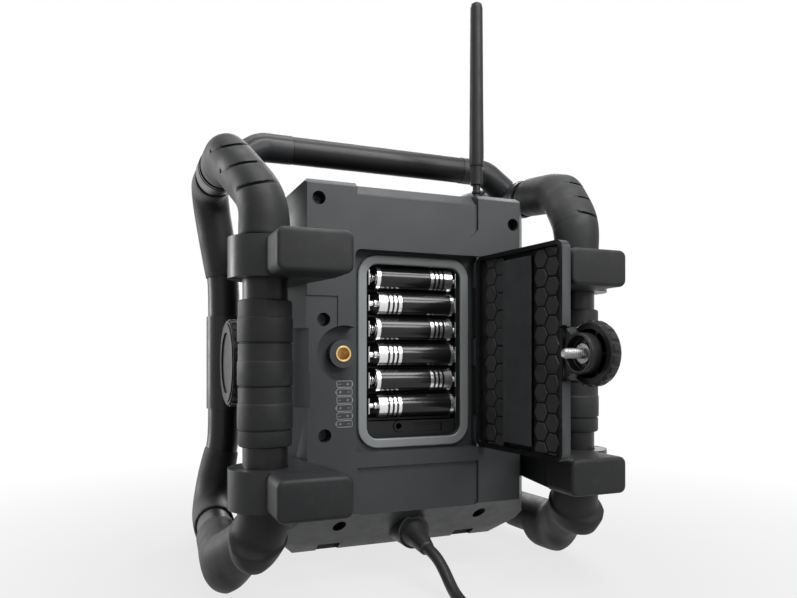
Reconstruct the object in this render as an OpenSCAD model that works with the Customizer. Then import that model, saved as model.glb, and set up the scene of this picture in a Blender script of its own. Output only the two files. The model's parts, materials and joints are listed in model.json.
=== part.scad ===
// Jobsite radio: a sealed two-part housing carried in a cage of bent tubes, with a hinged
// battery door that a hand knob clamps shut. Millimetres, +Z up, front towards -Y.
// Depths are counted forward from the flat rear face, heights from the floor.

/* [Housing] */
// Full width of the housing
housing_w = 158; // [131:1:190]
// Height of the housing, underside to top
housing_h = 217.5; // [206:0.5:262]
// Depth of the housing, rear face to front face
housing_d = 138; // [126:1:166]
// Height of the housing's underside above the floor
ground_gap = 14; // [12:0.5:17]
// Width of each rear side chamfer, seen from behind
rear_chamfer_w = 10.7; // [8.9:0.1:12.9]
// Wall thickness of both shells
wall = 2.6; // [2:0.1:3.2]
// Depth of the rear shell
rear_shell_d = 52; // [44:1:62]
// Thickness of the seal squeezed between the shells
seal_t = 1.2; // [0.8:0.1:2]
// Chamfer across the four outer corners
corner_cut = 11.5; // [8:0.5:16]

/* [Battery compartment] */
// Diameter of one cell
cell_d = 14.5; // [12:0.1:17.4]
// Length of one cell with its terminal
cell_len = 50.5; // [42:0.1:60.6]
// Gap between neighbouring cells
cell_gap = 0.7; // [0.5:0.1:1]
// Number of cells
cell_count = 6; // [6:1:6]
// Height of the lowest cell's axis
cell_low_z = 103; // [100:0.5:106]
// Width of the sealing gasket's band
gasket_band = 5.6; // [4.6:0.1:6.8]
// Thickness of the gasket
gasket_t = 1.8; // [1.5:0.1:2.2]
// Depth of the door recess
recess_d = 9; // [8.6:0.1:10.8]

/* [Battery door] */
// Depth of the hinge axis behind the rear face
hinge_depth = 4; // [3.8:0.1:4.8]
// Radius of the hinge pin
hinge_pin_r = 1.5; // [1.2:0.1:1.8]
// Radius of the hinge knuckles
knuckle_r = 3; // [2.6:0.1:3.6]
// Thickness of the door at its rim
door_t = 5.5; // [4.6:0.1:6.6]
// Angle at which the door stands open
door_open = 95; // [0:1:105]
// Height of the clamping knob's axis
knob_z = 133.8; // [130:0.1:140]
// Radius of the round lobe that carries the knob
lobe_r = 15; // [12.5:0.1:17]
// Radius over the knob's scallops
knob_r = 17.2; // [14.3:0.1:20.6]
// Thickness of the knob
knob_t = 9; // [7.5:0.1:10.8]
// Radius of the knob's clamping screw
screw_r = 2.7; // [2.2:0.1:3.2]
// Pitch of the honeycomb ribs inside the door
comb_pitch = 10.3; // [8.6:0.1:12.3]

/* [Cage] */
// Outside radius of the cage tubes
tube_r = 11.6; // [9.6:0.1:13.9]
// Distance from the housing's side to the axis of a rear upright
rear_offset = 16.6; // [16:0.1:20]
// Distance from the housing's side to the axis of a front upright at mid height
front_offset = 11.9; // [10:0.1:14.3]
// Distance from the housing's side to the top and foot rails at the back
rail_offset = 30.5; // [26:0.5:36]
// Distance of the rear uprights behind the rear face
rear_stand = 20; // [17:0.5:24]
// Distance of the front uprights in front of the housing
front_stand = 12; // [12:0.5:14.5]
// Thickness of the rubber of the bumpers and grips
rubber_t = 2.4; // [2:0.1:3]
// Rise of the top rails from the back to the front
rail_rise = 14; // [11.5:0.5:17]
// Height of the clamps, along the uprights
clamp_h = 20.5; // [17:0.5:24]
// Middle height of the lower clamps
clamp_low_z = 66; // [62:0.5:70]
// Distance from the rear face to the back of the clamp pads
pad_reach = 62.3; // [54:0.1:70]

/* [Handle and antenna] */
// Radius of the handle bar
handle_r = 8.8; // [7.3:0.1:10.6]
// Depth of the handle behind the rear face
handle_depth = 67; // [60:1:80]
// Height of the antenna above the housing
antenna_len = 125; // [104:1:150]
// Distance of the antenna from the centre line
antenna_x = 46; // [40:0.5:50]

/* [Controls] */
// Radius of the side dials
dial_r = 29.5; // [24.5:0.1:31]
// Width of the side dials
dial_w = 17; // [14:0.5:20]
// Height of the side dials' axis
dial_z = 128; // [122:1:134]
// Radius of the speaker opening
speaker_r = 54; // [45:0.5:57]
// Height of the speaker's axis
speaker_z = 104; // [98:1:110]
// Width of the display window
display_w = 70; // [58:1:84]
// Height of the display window
display_h = 27; // [22:0.5:31]
// Travel of a push button
button_travel = 1.2; // [1:0.1:1.4]

/* [Power cord] */
// Diameter of the power cord
cord_d = 6.6; // [6.6:0.1:6.6]

/* [Hidden] */
$fn = 96;

fit_gap = 0.2;      // parts that sit on or in each other
sleeve_gap = 0.35;  // rubber sleeves round the bent tubes
run_gap = 0.08;     // radial play of a turning fit
part_gap = 0.4;     // play round parts that move past each other

// compartment, mouth and door, built up from the cells
cell_proud = 1.95;       // how far the cells stand out past the floor of the recess
terminal_room = 5.25;    // room at each end of the cells for the contacts
step_room = 19;          // height under the lowest cell's axis for the step with the jack
hinge_room = 4.9;        // from the gasket to the hinge axis
rim_room = 3.4;          // from the gasket to the door's free edge
lobe_offset = 7.1;       // from the door's free edge to the knob's axis
cell_r = cell_d / 2;
cell_pitch = cell_d + cell_gap;
cell_depth = recess_d + cell_r - cell_proud;
mouth_w = cell_len + 2 * terminal_room;
mouth_low_z = cell_low_z - step_room;
mouth_top_z = cell_low_z + (cell_count - 1) * cell_pitch + cell_r + 0.25;
hinge_x = mouth_w / 2 + gasket_band + hinge_room;
door_w = hinge_x + mouth_w / 2 + gasket_band + rim_room;
knob_reach = door_w + lobe_offset;
door_face = recess_d - gasket_t - door_t - 0.3;   // depth of the closed door's face

// radii over the rubber of the cage
grip_r = tube_r + rubber_t;
foot_r = tube_r + rubber_t - 0.7;
sole_t = 7.7;            // extra rubber under the feet
front_grip_r = tube_r + 1;
front_rubber_t = 1.5;    // rubber of the front top bumpers
clamp_collar_r = tube_r + 7.1;

// Where the rear face lies, so that the origin is the middle of the base.
front_reach = housing_d + front_stand + foot_r;
rear_reach = (knob_reach + max(lobe_r, knob_r)) * sin(door_open) - hinge_depth
    + (door_t + door_face - hinge_depth) * -cos(door_open);
rear_y = (front_reach - rear_reach) / 2;

housing_top = ground_gap + housing_h;
half_w = housing_w / 2;
rear_face_w = housing_w - 2 * rear_chamfer_w;
split_d = rear_shell_d;
front_d0 = split_d + seal_t;
side_cut_d = 14;         // depth over which the rear side chamfers run out
slope_top_z = ground_gap + 29;
slope_d = 38;            // depth over which the sloped underside runs out
top_cut = 3;             // small chamfer at the top rear edge
front_cut = 4;           // chamfer round the front face
screw_hole_r = 3.8;
screw_shank_r = 1.6;
foot_z = foot_r + sole_t;
front_tube_d = housing_d + front_stand;
rear_x = half_w + rear_offset;
front_waist_x = half_w + front_offset;
rail_x = half_w + rail_offset;
clamp_top_z = housing_top - 50;
rail_z = housing_top + 10;
handle_z = housing_top + 33.5;

// Rear screws as [distance left of the centre line, height]
mid_screw_z = knob_z + lobe_r + 4.2;
rear_screws = [[half_w - 17.5, housing_top - 11], [15.4 - half_w, housing_top - 17],
    [half_w - 20.4, mid_screw_z], [19 - half_w, mid_screw_z], [half_w - 20.8, mouth_low_z + 4],
    [19 - half_w, mouth_low_z + 4]];
low_screw_x = half_w - 33;

// A point given as distance left of the centre line, depth and height.
function at(x, d, z) = [x, rear_y - d, z];

// ---------- 2D helpers ----------
// Rectangle with round corners, between two opposite corner points.
module round_rect(x0, y0, x1, y1, r) {
    translate([x0 + r, y0]) square([x1 - x0 - 2 * r, y1 - y0]);
    translate([x0, y0 + r]) square([x1 - x0, y1 - y0 - 2 * r]);
    for (x = [x0 + r, x1 - r], y = [y0 + r, y1 - r])
        translate([x, y]) circle(r);
}

// Extrudes an outline seen from behind (x left, height up) over a span of depths.
module rear_extrude(d0, d1) {
    translate([0, rear_y - d0, 0]) rotate([90, 0, 0]) linear_extrude(d1 - d0) children();
}

// Cylinder along the depth direction.
module depth_rod(x, z, d0, d1, r) {
    translate(at(x, d0, z)) rotate([90, 0, 0]) cylinder(h = d1 - d0, r = r);
}

// Both sides of the centre line.
module both_sides() {
    children();
    mirror([1, 0, 0]) children();
}

// ---------- bent tubes ----------
function unit(v) = v / norm(v);

// A bent tube's centre line is a list of corner points p with bend radii r. A place on it
// is given as a bend's number i and a: degrees round that bend, or millimetres before its
// start (negative), or degrees plus the millimetres past its end.
function turn_of(p, i) = let (n = len(p))
    acos(unit(p[i] - p[(i + n - 1) % n]) * unit(p[(i + 1) % n] - p[i]));
function place(p, r, i, a) = let (n = len(p),
    along = unit(p[i] - p[(i + n - 1) % n]),
    away = unit(p[(i + 1) % n] - p[i]),
    turn = turn_of(p, i),
    outward = -cross(unit(cross(along, away)), along),
    start = p[i] - along * r[i] * tan(turn / 2),
    finish = p[i] + away * r[i] * tan(turn / 2),
    centre = start - outward * r[i])
    a < 0 ? [start + along * a, along]
    : a > turn ? [finish + away * (a - turn), away]
    : [centre + r[i] * (outward * cos(a) + along * sin(a)), along * cos(a) - outward * sin(a)];

// Ring of points round a place [point, direction], square to its direction.
function ring(at_place, radius, side_ref, sides) = let (
    side = unit(cross(at_place[1], side_ref)),
    up = cross(side, at_place[1]))
    [for (k = [0:sides - 1]) let (t = 360 * k / sides)
        at_place[0] + radius * (cos(t) * side + sin(t) * up)];

// Quads between ring i and ring j of a point list, wound outwards.
function band(i, j, sides) = [for (k = [0:sides - 1]) let (m = (k + 1) % sides)
    [i * sides + k, i * sides + m, j * sides + m, j * sides + k]];
function back(faces) = [for (f = faces) [for (k = [len(f) - 1:-1:0]) f[k]]];

// Solid rod or closed loop through a list of rings.
module skin(rings, sides, closed = false) {
    n = len(rings);
    walls = [for (i = [0:closed ? n - 1 : n - 2]) each band(i, (i + 1) % n, sides)];
    caps = closed ? [] : [[for (k = [sides - 1:-1:0]) k],
        [for (k = [0:sides - 1]) (n - 1) * sides + k]];
    polyhedron(points = [for (q = rings) each q], faces = concat(walls, caps));
}

// Sleeve with an outside skin and a bore, each a list of rings at the same places.
module sleeve_skin(outer, inner, sides) {
    n = len(outer);
    out = [for (i = [0:n - 2]) each band(i, i + 1, sides)];
    bore = back([for (i = [n:2 * n - 2]) each band(i, i + 1, sides)]);
    first = back(band(0, n, sides));
    last = band(n - 1, 2 * n - 1, sides);
    polyhedron(points = [for (q = concat(outer, inner)) each q],
        faces = concat(out, bore, first, last));
}

// Straight rod between two points.
module rod(a, b, r) {
    v = b - a;
    translate(a) rotate([0, acos(v[2] / norm(v)), atan2(v[1], v[0])])
        cylinder(h = norm(v), r = r);
}

// Corner points of the left side loop and the radii of its bends, upwards from the
// lower rear corner.
loop_points = [
    at(rear_x, -rear_stand, clamp_low_z - 23),
    at(rear_x, -rear_stand, clamp_top_z + 29.5),
    at(rail_x - 1, 15, rail_z),
    at(front_waist_x + 11.5, front_tube_d, rail_z + rail_rise),
    at(front_waist_x, front_tube_d, rail_z - 55),
    at(front_waist_x, front_tube_d, foot_z + 52),
    at(front_waist_x + 10.6, front_tube_d, foot_z),
    at(rail_x + 0.4, 20, foot_z)];
loop_bends = [20, 26, 30, 20, 50, 50, 24, 22];
bend_steps = [5, 6, 4, 6, 1, 1, 6, 4];
tube_sides = 18;

function loop_turn(i) = turn_of(loop_points, i);
function loop_place(i, a) = place(loop_points, loop_bends, i, a);

module loop() {
    skin([for (i = [0:7], k = [0:bend_steps[i]])
        ring(loop_place(i, loop_turn(i) * k / bend_steps[i]), tube_r, [1, 0, 0], tube_sides)],
        tube_sides, closed = true);
}

// Ring with a bulge: the points on the side that lift looks to are moved along it.
function bulged(at_place, radius, lift) = let (q = ring(at_place, radius, [1, 0, 0], tube_sides))
    norm(lift) == 0 ? q
    : [for (v = q) v + lift * max(0, unit(v - at_place[0]) * unit(lift))];

// Rubber sleeve on the left loop through stations [bend, place, outside radius, lift].
module loop_sleeve(stations) {
    sleeve_skin([for (q = stations)
        bulged(loop_place(q[0], q[1]), q[2], len(q) > 3 ? q[3] : [0, 0, 0])],
        [for (q = stations)
            ring(loop_place(q[0], q[1]), tube_r + sleeve_gap, [1, 0, 0], tube_sides)],
        tube_sides);
}

// Stations of one groove across a sleeve of radius r; w turns its widths into degrees
// where it lies in a bend.
groove_half_w = 1.2;
groove_half_floor = 0.8;
groove_depth = 1.4;
function groove(i, a, r, lift) =
    let (w = loop_turn(i) > a && a > 0 ? 180 / (PI * loop_bends[i]) : 1,
        floor_r = r - 0.2,
        floor_lift = lift * (1 - groove_depth / norm(lift)))
    [[i, a - groove_half_w * w, r, lift], [i, a - groove_half_floor * w, floor_r, floor_lift],
        [i, a + groove_half_floor * w, floor_r, floor_lift], [i, a + groove_half_w * w, r, lift]];

// Box between two points given as [x, depth, height].
module block(a, b) {
    lo = [min(a[0], b[0]), min(a[1], b[1]), min(a[2], b[2])];
    hi = [max(a[0], b[0]), max(a[1], b[1]), max(a[2], b[2])];
    translate([lo[0], rear_y - hi[1], lo[2]])
        cube([hi[0] - lo[0], hi[1] - lo[1], hi[2] - lo[2]]);
}

// ---------- housing ----------
// Solid form of the housing, drawn in by an inset on every side.
module housing_form(inset = 0) {
    hw = housing_w / 2 - inset;
    rw = rear_face_w / 2 - inset;
    lo = ground_gap + inset;
    hi = housing_top - inset;
    cut = corner_cut - 0.4 * inset;
    d1 = housing_d - inset;
    intersection() {
        rear_extrude(inset, d1)
            polygon([[-hw + cut, lo], [hw - cut, lo], [hw, lo + cut], [hw, hi - cut],
                [hw - cut, hi], [-hw + cut, hi], [-hw, hi - cut], [-hw, lo + cut]]);
        translate([0, rear_y, 0]) linear_extrude(hi)
            polygon([[-rw, -inset], [rw, -inset], [hw, -side_cut_d], [hw, front_cut - d1],
                [hw - front_cut, -d1], [-hw + front_cut, -d1], [-hw, front_cut - d1],
                [-hw, -side_cut_d]]);
        translate([-hw, rear_y, 0]) rotate([90, 0, 90]) linear_extrude(2 * hw)
            polygon([[-inset, slope_top_z + 0.4 * inset], [-inset, hi - top_cut],
                [-inset - 4, hi], [front_cut - d1, hi], [-d1, hi - front_cut],
                [-d1, lo + front_cut], [front_cut - d1, lo], [-slope_d, lo]]);
    }
}

// Outline of the door recess, grown by g; the lobe's pocket is part of it.
recess_free_x = door_w - hinge_x + part_gap + 0.4;
recess_low_z = mouth_low_z - gasket_band - 1.4;
recess_top_z = mouth_top_z + gasket_band + 1.4;
insert_x = knob_reach - hinge_x;

module recess_outline(g = 0) {
    round_rect(-hinge_x - knuckle_r - 2.5 - g, recess_low_z - g, recess_free_x + g,
        recess_top_z + g, 4 + g);
    translate([insert_x, knob_z]) circle(lobe_r + 1 + g);
}

module mouth_outline(g = 0) {
    round_rect(-mouth_w / 2 - g, mouth_low_z - g, mouth_w / 2 + g, mouth_top_z + g, 7 + g);
}

knuckle_len = 16;
shell_knuckle_z = [recess_low_z + 3, (recess_low_z + recess_top_z - knuckle_len) / 2,
    recess_top_z - knuckle_len - 3];

module rear_shell() {
    color("#3a3b3c") difference() {
        union() {
            difference() {
                intersection() {
                    housing_form();
                    block([-housing_w, 0, 0], [housing_w, split_d, housing_top]);
                }
                intersection() {
                    housing_form(wall);
                    block([-housing_w, 0, 0], [housing_w, split_d + 1, housing_top]);
                }
            }
            intersection() {
                housing_form();
                union() {
                    rear_extrude(0.5, recess_d + wall) recess_outline(wall);
                    depth_rod(insert_x, knob_z, 0.5, recess_d + wall + 4, 8);
                    for (s = rear_screws)
                        depth_rod(s[0], s[1], 0.5, split_d, screw_hole_r + 1.6);
                    for (x = [-low_screw_x, low_screw_x])
                        depth_rod(x, ground_gap + 20, 8, split_d, screw_hole_r + 1.6);
                }
            }
            // round seat of the power cord's gland
            depth_rod(0, gland_z, gland_d, slope_d, gland_r + 1.4);
            hinge_lugs();
        }
        // door recess with the insert's boss left standing
        difference() {
            rear_extrude(-1, recess_d) recess_outline();
            depth_rod(insert_x, knob_z, insert_face_d, recess_d + 1, 8);
            hinge_lugs();
        }
        rear_extrude(recess_d - 1, recess_d + wall + 1) mouth_outline();
        depth_rod(insert_x, knob_z, 0, recess_d + wall + 5, insert_r + 0.05);
        // label recesses, open at the housing's top and at the foot of the rear face
        rear_extrude(-1, 1.6) label_outline(housing_top - 27, housing_top + 1);
        rear_extrude(-1, 1.6) label_outline(slope_top_z - 4, slope_top_z + 26);
        translate([7 - antenna_x, rear_y, 0]) rotate([90, 0, 90])
            linear_extrude(2 * (antenna_x - 7)) polygon([[1, housing_top - 7],
                [-1.5, housing_top - 7], [-10.9, housing_top + 1], [1, housing_top + 1]]);
        // stepped panel beside the lobe
        rear_extrude(-1, 0.8)
            polygon([[insert_x + 3.9, knob_z + 32.5], [half_w, knob_z + 32.5],
                [half_w, knob_z - 10], [insert_x + 11.4, knob_z - 10],
                [insert_x + 3.9, knob_z - 16.5]]);
        // screw pockets and shank holes
        for (s = rear_screws) {
            depth_rod(s[0], s[1], -1, 9, screw_hole_r);
            depth_rod(s[0], s[1], 8, split_d + 1, screw_shank_r + 0.15);
        }
        for (x = [-low_screw_x, low_screw_x]) {
            depth_rod(x, ground_gap + 20, 0, 26, screw_hole_r);
            depth_rod(x, ground_gap + 20, 20, split_d + 1, screw_shank_r + 0.15);
            block([x - 7, 24, ground_gap - 1], [x + 7, 40, ground_gap + 5]);
        }
        // finger scallops beside the rear grips
        for (s = [-1, 1])
            translate(at(s * rear_x, -rear_stand, dial_z - 24))
                cylinder(h = 44, r = rear_x - rear_face_w / 2 + 8);
        // gland hole, antenna seat and door hinge pin
        depth_rod(0, gland_z, 0, slope_d + 1, gland_r + 0.15);
        translate(at(-antenna_x, antenna_d, housing_top - 8)) cylinder(h = 9, r = 4.1);
        translate(at(-hinge_x, hinge_depth, recess_low_z - 1))
            cylinder(h = recess_top_z - recess_low_z + 2, r = hinge_pin_r + 0.02);
        // clamp screw holes
        for (s = [-1, 1], z = [clamp_low_z, clamp_top_z])
            depth_rod(s * clamp_screw_x, z, -1, 22, screw_shank_r + 0.1);
    }
}

module label_outline(z0, z1) {
    x = antenna_x - 7;
    polygon([[-x, z1], [-x, z0 + 5], [5 - x, z0], [x - 5, z0], [x, z0 + 5], [x, z1]]);
}

// Lugs of the housing that hold the hinge pin, each on a web to the recess wall.
module hinge_lugs() {
    for (z = shell_knuckle_z) {
        translate(at(-hinge_x, hinge_depth, z)) cylinder(h = knuckle_len, r = knuckle_r);
        block([-hinge_x - 2, hinge_depth + 1, z], [-hinge_x + 2, recess_d + 0.5, z + knuckle_len]);
    }
}

module front_shell() {
    color("#2f3031") difference() {
        union() {
            difference() {
                intersection() {
                    housing_form();
                    block([-housing_w, front_d0, 0], [housing_w, housing_d, housing_top]);
                }
                intersection() {
                    housing_form(wall);
                    block([-housing_w, 0, 0], [housing_w, housing_d - wall, housing_top]);
                }
            }
            intersection() {
                housing_form();
                union() {
                    for (s = rear_screws) {
                        depth_rod(s[0], s[1], front_d0, front_d0 + 34, screw_hole_r + 1.6);
                        block([s[0], front_d0, s[1] - 1], [sign(s[0]) * housing_w / 2,
                            front_d0 + 34, s[1] + 1]);
                    }
                    for (x = [-low_screw_x, low_screw_x]) {
                        depth_rod(x, ground_gap + 20, front_d0, front_d0 + 34,
                            screw_hole_r + 1.6);
                        block([x - 1, front_d0, ground_gap], [x + 1, front_d0 + 34,
                            ground_gap + 20]);
                    }
                    // bearings of the side dials
                    for (s = [-1, 1]) rotate_about_dial(s)
                        cylinder(h = 14, r = dial_shaft_r + 4);
                    // ring that the speaker seats on, and posts under the board
                    depth_rod(0, speaker_z, housing_d - 6, housing_d - 1, speaker_r + 5);
                    for (x = [6 - board_x, board_x - 6], z = [board_low_z + 4, board_top_z - 4])
                        depth_rod(x, z, board_d + board_t, housing_d - 1, 3.5);
                }
            }
        }
        depth_rod(0, speaker_z, housing_d - 10, housing_d + 1, speaker_r);
        depth_rod(0, speaker_z, housing_d - 1.4, housing_d + 1, speaker_r + 4 + fit_gap);
        // display opening with its ledge
        rear_extrude(housing_d - 10, housing_d + 1) display_outline(-3);
        rear_extrude(housing_d - 1.4, housing_d + 1) display_outline(fit_gap);
        for (x = button_x)
            rear_extrude(housing_d - 10, housing_d + 1)
                translate([x, button_z]) button_outline(part_gap);
        for (s = [-1, 1]) rotate_about_dial(s)
            translate([0, 0, -20]) cylinder(h = 60, r = dial_shaft_r + run_gap);
        for (s = rear_screws)
            depth_rod(s[0], s[1], front_d0 - 1, front_d0 + 28, screw_shank_r - 0.1);
        for (x = [-low_screw_x, low_screw_x])
            depth_rod(x, ground_gap + 20, front_d0 - 1, front_d0 + 28, screw_shank_r - 0.1);
        // front clamp screw holes
        for (s = [-1, 1], z = [dial_z - 14, dial_z + 14])
            depth_rod(s * front_screw_x, z, housing_d - 12, housing_d + 1,
                screw_shank_r + 0.1);
    }
}

module shell_seal() {
    color("#1c1c1c") difference() {
        intersection() {
            housing_form();
            block([-housing_w, split_d, 0], [housing_w, split_d + seal_t, housing_top]);
        }
        intersection() {
            housing_form(wall - 0.1);
            block([-housing_w, split_d - 1, 0], [housing_w, split_d + seal_t + 1, housing_top]);
        }
    }
}

module shell_screws() {
    color("#8c8e90") {
        for (s = rear_screws) shell_screw(s[0], s[1], 9);
        for (x = [-low_screw_x, low_screw_x]) shell_screw(x, ground_gap + 20, 26);
    }
}

// One screw with a domed cross-recessed head; its tip ends in the front shell.
module shell_screw(x, z, head_d) {
    difference() {
        union() {
            depth_rod(x, z, head_d - 2.2, head_d, 3.2);
            depth_rod(x, z, head_d - 1, front_d0 + 24, screw_shank_r - 0.1);
        }
        for (a = [0, 90])
            translate(at(x, head_d - 2.4, z)) rotate([0, a, 0])
                translate([-1.8, -1, -0.35]) cube([3.6, 1.3, 0.7]);
    }
}

// ---------- battery compartment ----------
tray_wall = 1.8;
tray_in_x = mouth_w / 2;
tray_floor_d = cell_depth + cell_d / 2 + 1.2;
tray_back_d = tray_floor_d + tray_wall;
tray_front_d = recess_d + wall;
contact_x = cell_len / 2 + 3.35;  // face of the contacts' plates, left and right of the centre
cell_shift = 1.1;        // the cells sit a little right of the centre line
jack_x = 8.5;
jack_z = mouth_low_z + 6.5;

function cell_z(i) = cell_low_z + cell_pitch * i;

module battery_tray() {
    color("#161617") difference() {
        union() {
            rear_extrude(tray_front_d, tray_back_d) mouth_outline(tray_wall);
            rear_extrude(tray_front_d, tray_front_d + tray_wall) mouth_outline(5);
        }
        difference() {
            rear_extrude(tray_front_d - 1, tray_floor_d) mouth_outline(0.2);
            // cradles between the cells
            difference() {
                block([-contact_x + 1.2, cell_depth + 1.2, cell_z(0) - cell_r - 1.5],
                    [contact_x - 1.2, tray_floor_d + 1, cell_z(cell_count - 1) + cell_r + 1.5]);
                for (i = [0:cell_count - 1])
                    translate(at(-contact_x, cell_depth, cell_z(i))) rotate([0, 90, 0])
                        cylinder(h = 2 * contact_x, r = cell_r + 0.25);
            }
            // end walls behind the contact plates
            for (s = [-1, 1])
                block([s * (contact_x + 0.4), tray_front_d - 1, mouth_low_z],
                    [s * tray_in_x, tray_floor_d + 1, mouth_top_z]);
            // step that holds the jack, with a slot beside it
            difference() {
                block([-tray_in_x, jack_face_d, mouth_low_z - 1],
                    [tray_in_x, tray_floor_d + 1, cell_z(0) - cell_r - 2]);
                block([-20.5, jack_face_d - 1, mouth_low_z + 2.5],
                    [-2, jack_face_d + 1.2, mouth_low_z + 8]);
            }
        }
        depth_rod(jack_x, jack_z, 0, tray_back_d + 1, jack_r + 0.1);
    }
}
jack_r = 3.2;
jack_face_d = 13;

module aux_jack() {
    color("#0e0e0e") difference() {
        union() {
            depth_rod(jack_x, jack_z, jack_face_d - 0.8, tray_back_d + 1.5, jack_r);
            block([jack_x - 4.5, tray_back_d + 0.1, jack_z - 4],
                [jack_x + 4.5, tray_back_d + 11, jack_z + 4]);
        }
        depth_rod(jack_x, jack_z, 0, tray_back_d + 9, 1.8);
    }
}

// Odd cells have their raised terminal on the left, even ones on the right.
function cell_dir(i) = i % 2 == 0 ? 1 : -1;

module battery_contacts() {
    color("#c9cacb") for (i = [0:cell_count - 1]) {
        for (s = [-1, 1])
            block([s * (contact_x + 0.1), cell_depth - 4.6, cell_z(i) - 4.6],
                [s * (contact_x - 0.4), cell_depth + 5.4, cell_z(i) + 4.6]);
        // conical spring against the flat end
        flat = -cell_dir(i);
        gap = contact_x - 0.4 - cell_len / 2 - 0.1 + (flat < 0 ? -cell_shift : cell_shift);
        translate(at(flat * (contact_x - 0.3), cell_depth, cell_z(i)))
            rotate([0, -flat * 90, 0]) contact_spring(gap + 0.1);
        // pressed stud against the raised terminal
        stud = contact_x - 0.4 - cell_len / 2 - 0.1 + (flat > 0 ? -cell_shift : cell_shift);
        translate(at(-flat * (contact_x - 0.3), cell_depth, cell_z(i)))
            rotate([0, flat * 90, 0]) cylinder(h = stud + 0.1, r = 1.8);
    }
}

// Spring drawn as a ringed cone of the wire's outer shape.
module contact_spring(h) {
    turns = 3;
    step = h / turns;
    rotate_extrude() for (k = [0:turns - 1])
        polygon([[0, k * step], [4.4 - 0.6 * k, k * step], [4.7 - 0.6 * k, (k + 0.4) * step],
            [4 - 0.6 * k, (k + 1) * step], [0, (k + 1) * step]]);
}

// One cell: a steel can in a sleeve, with its raised terminal.
module battery_cell(i) {
    dir = cell_dir(i);
    nub = 1.4;
    body = cell_len - nub;
    color("#222222") translate(at(-cell_shift - dir * cell_len / 2, cell_depth, cell_z(i)))
        rotate([0, dir * 90, 0]) rotate_extrude()
            polygon([[0, 0], [4.6, 0], [4.6, 0.3], [cell_r - 0.6, 0.3], [cell_r, 0.9],
                [cell_r, body - 0.8], [cell_r - 0.8, body], [2.7, body],
                [2.6, cell_len - 0.3], [2.2, cell_len], [0, cell_len]]);
}

module compartment_gasket() {
    color("#6a6c6e") rear_extrude(recess_d - gasket_t, recess_d) difference() {
        mouth_outline(gasket_band);
        mouth_outline(0);
    }
}

// ---------- battery door ----------
insert_r = 4.6;
insert_face_d = 2.5;
insert_len = 10;
door_top_z = recess_top_z - 0.7;
door_low_z = recess_low_z + 0.7;
cup_floor_t = 2;
cup_out = -1.8;          // depth of the cup floor's inner face, outside the rear face

module brass_insert() {
    color("#b58a3a") difference() {
        depth_rod(insert_x, knob_z, insert_face_d - 0.6, insert_face_d + insert_len, insert_r);
        depth_rod(insert_x, knob_z, 0, insert_face_d + insert_len + 1, screw_r + 0.75);
        for (k = [0, 1])
            translate(at(insert_x, insert_face_d + 3 + 3 * k, knob_z)) rotate([90, 0, 0])
                difference() {
                    cylinder(h = 1, r = insert_r + 1);
                    translate([0, 0, -1]) cylinder(h = 3, r = insert_r - 0.5);
                }
    }
}

module hinge_pin() {
    color("#a8aaac") translate(at(-hinge_x, hinge_depth, recess_low_z - 0.8))
        cylinder(h = recess_top_z - recess_low_z + 1.6, r = hinge_pin_r);
}

// Swings children, drawn in the closed place, to the door's resting angle.
module swing() {
    translate(at(-hinge_x, hinge_depth, 0)) rotate([0, 0, door_open])
        translate(-at(-hinge_x, hinge_depth, 0)) children();
}

door_in = door_face + door_t;      // depth of the closed door's inner face
door_knuckle_gap = 0.3;

// Door outline seen from behind, closed: a plate with a round lobe.
module door_outline(g = 0) {
    round_rect(-hinge_x + 2 - g, door_low_z - g, door_w - hinge_x + g, door_top_z + g, 5 + g);
    translate([insert_x, knob_z]) circle(lobe_r + g);
}

// Two columns of hexagons starting at x0.
module comb(x0) {
    rows = floor((door_top_z - door_low_z - 2 * 4.5) / comb_pitch);
    z0 = (door_low_z + door_top_z) / 2 - (rows - 0.5) * comb_pitch / 2;
    for (c = [0, 1], k = [0:rows - 1 - c])
        translate([x0 + c * comb_pitch * 0.866, z0 + (k + c / 2) * comb_pitch])
            circle(r = (comb_pitch - 1.5) / sqrt(3), $fn = 6);
}

foam_x0 = -hinge_x + 31;
foam_w = door_w - 59.5;

module battery_door() {
    color("#2b2c2d") swing() difference() {
        union() {
            difference() {
                rear_extrude(door_face, door_in) door_outline();
                // sunk inner field inside the rim
                rear_extrude(door_in - 0.9, door_in + 1) difference() {
                    door_outline(-2.4);
                    translate([insert_x, knob_z]) circle(lobe_r + 1);
                }
                // honeycomb pockets either side of the foam pad
                rear_extrude(door_in - 3.1, door_in + 1) {
                    comb(foam_x0 - 4 - 0.866 * comb_pitch - 5.5);
                    comb(foam_x0 + foam_w + 6.2);
                }
                // seat of the foam pad
                rear_extrude(door_in - 1.9, door_in + 1)
                    round_rect(foam_x0, door_low_z + 5, foam_x0 + foam_w, door_top_z - 5, 1);
            }
            // cup behind the lobe, its floor standing proud of the door
            depth_rod(insert_x, knob_z, cup_out - cup_floor_t, door_in, lobe_r);
            for (z = [shell_knuckle_z[0], shell_knuckle_z[1]])
                translate([0, 0, z + knuckle_len + door_knuckle_gap]) door_knuckle();
        }
        depth_rod(insert_x, knob_z, cup_out, door_in + 1, lobe_r - 2);
        depth_rod(insert_x, knob_z, cup_out - cup_floor_t - 1, cup_out + 1,
            knob_boss_r + run_gap);
        translate(at(-hinge_x, hinge_depth, door_low_z - 1))
            cylinder(h = door_top_z - door_low_z + 2, r = hinge_pin_r + run_gap);
        // room for the housing's lugs
        for (z = shell_knuckle_z)
            translate(at(-hinge_x, hinge_depth, z - door_knuckle_gap))
                cylinder(h = knuckle_len + 2 * door_knuckle_gap, r = knuckle_r + 0.35);
    }
}

door_knuckle_len = shell_knuckle_z[1] - shell_knuckle_z[0] - knuckle_len - 2 * door_knuckle_gap;

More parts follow.
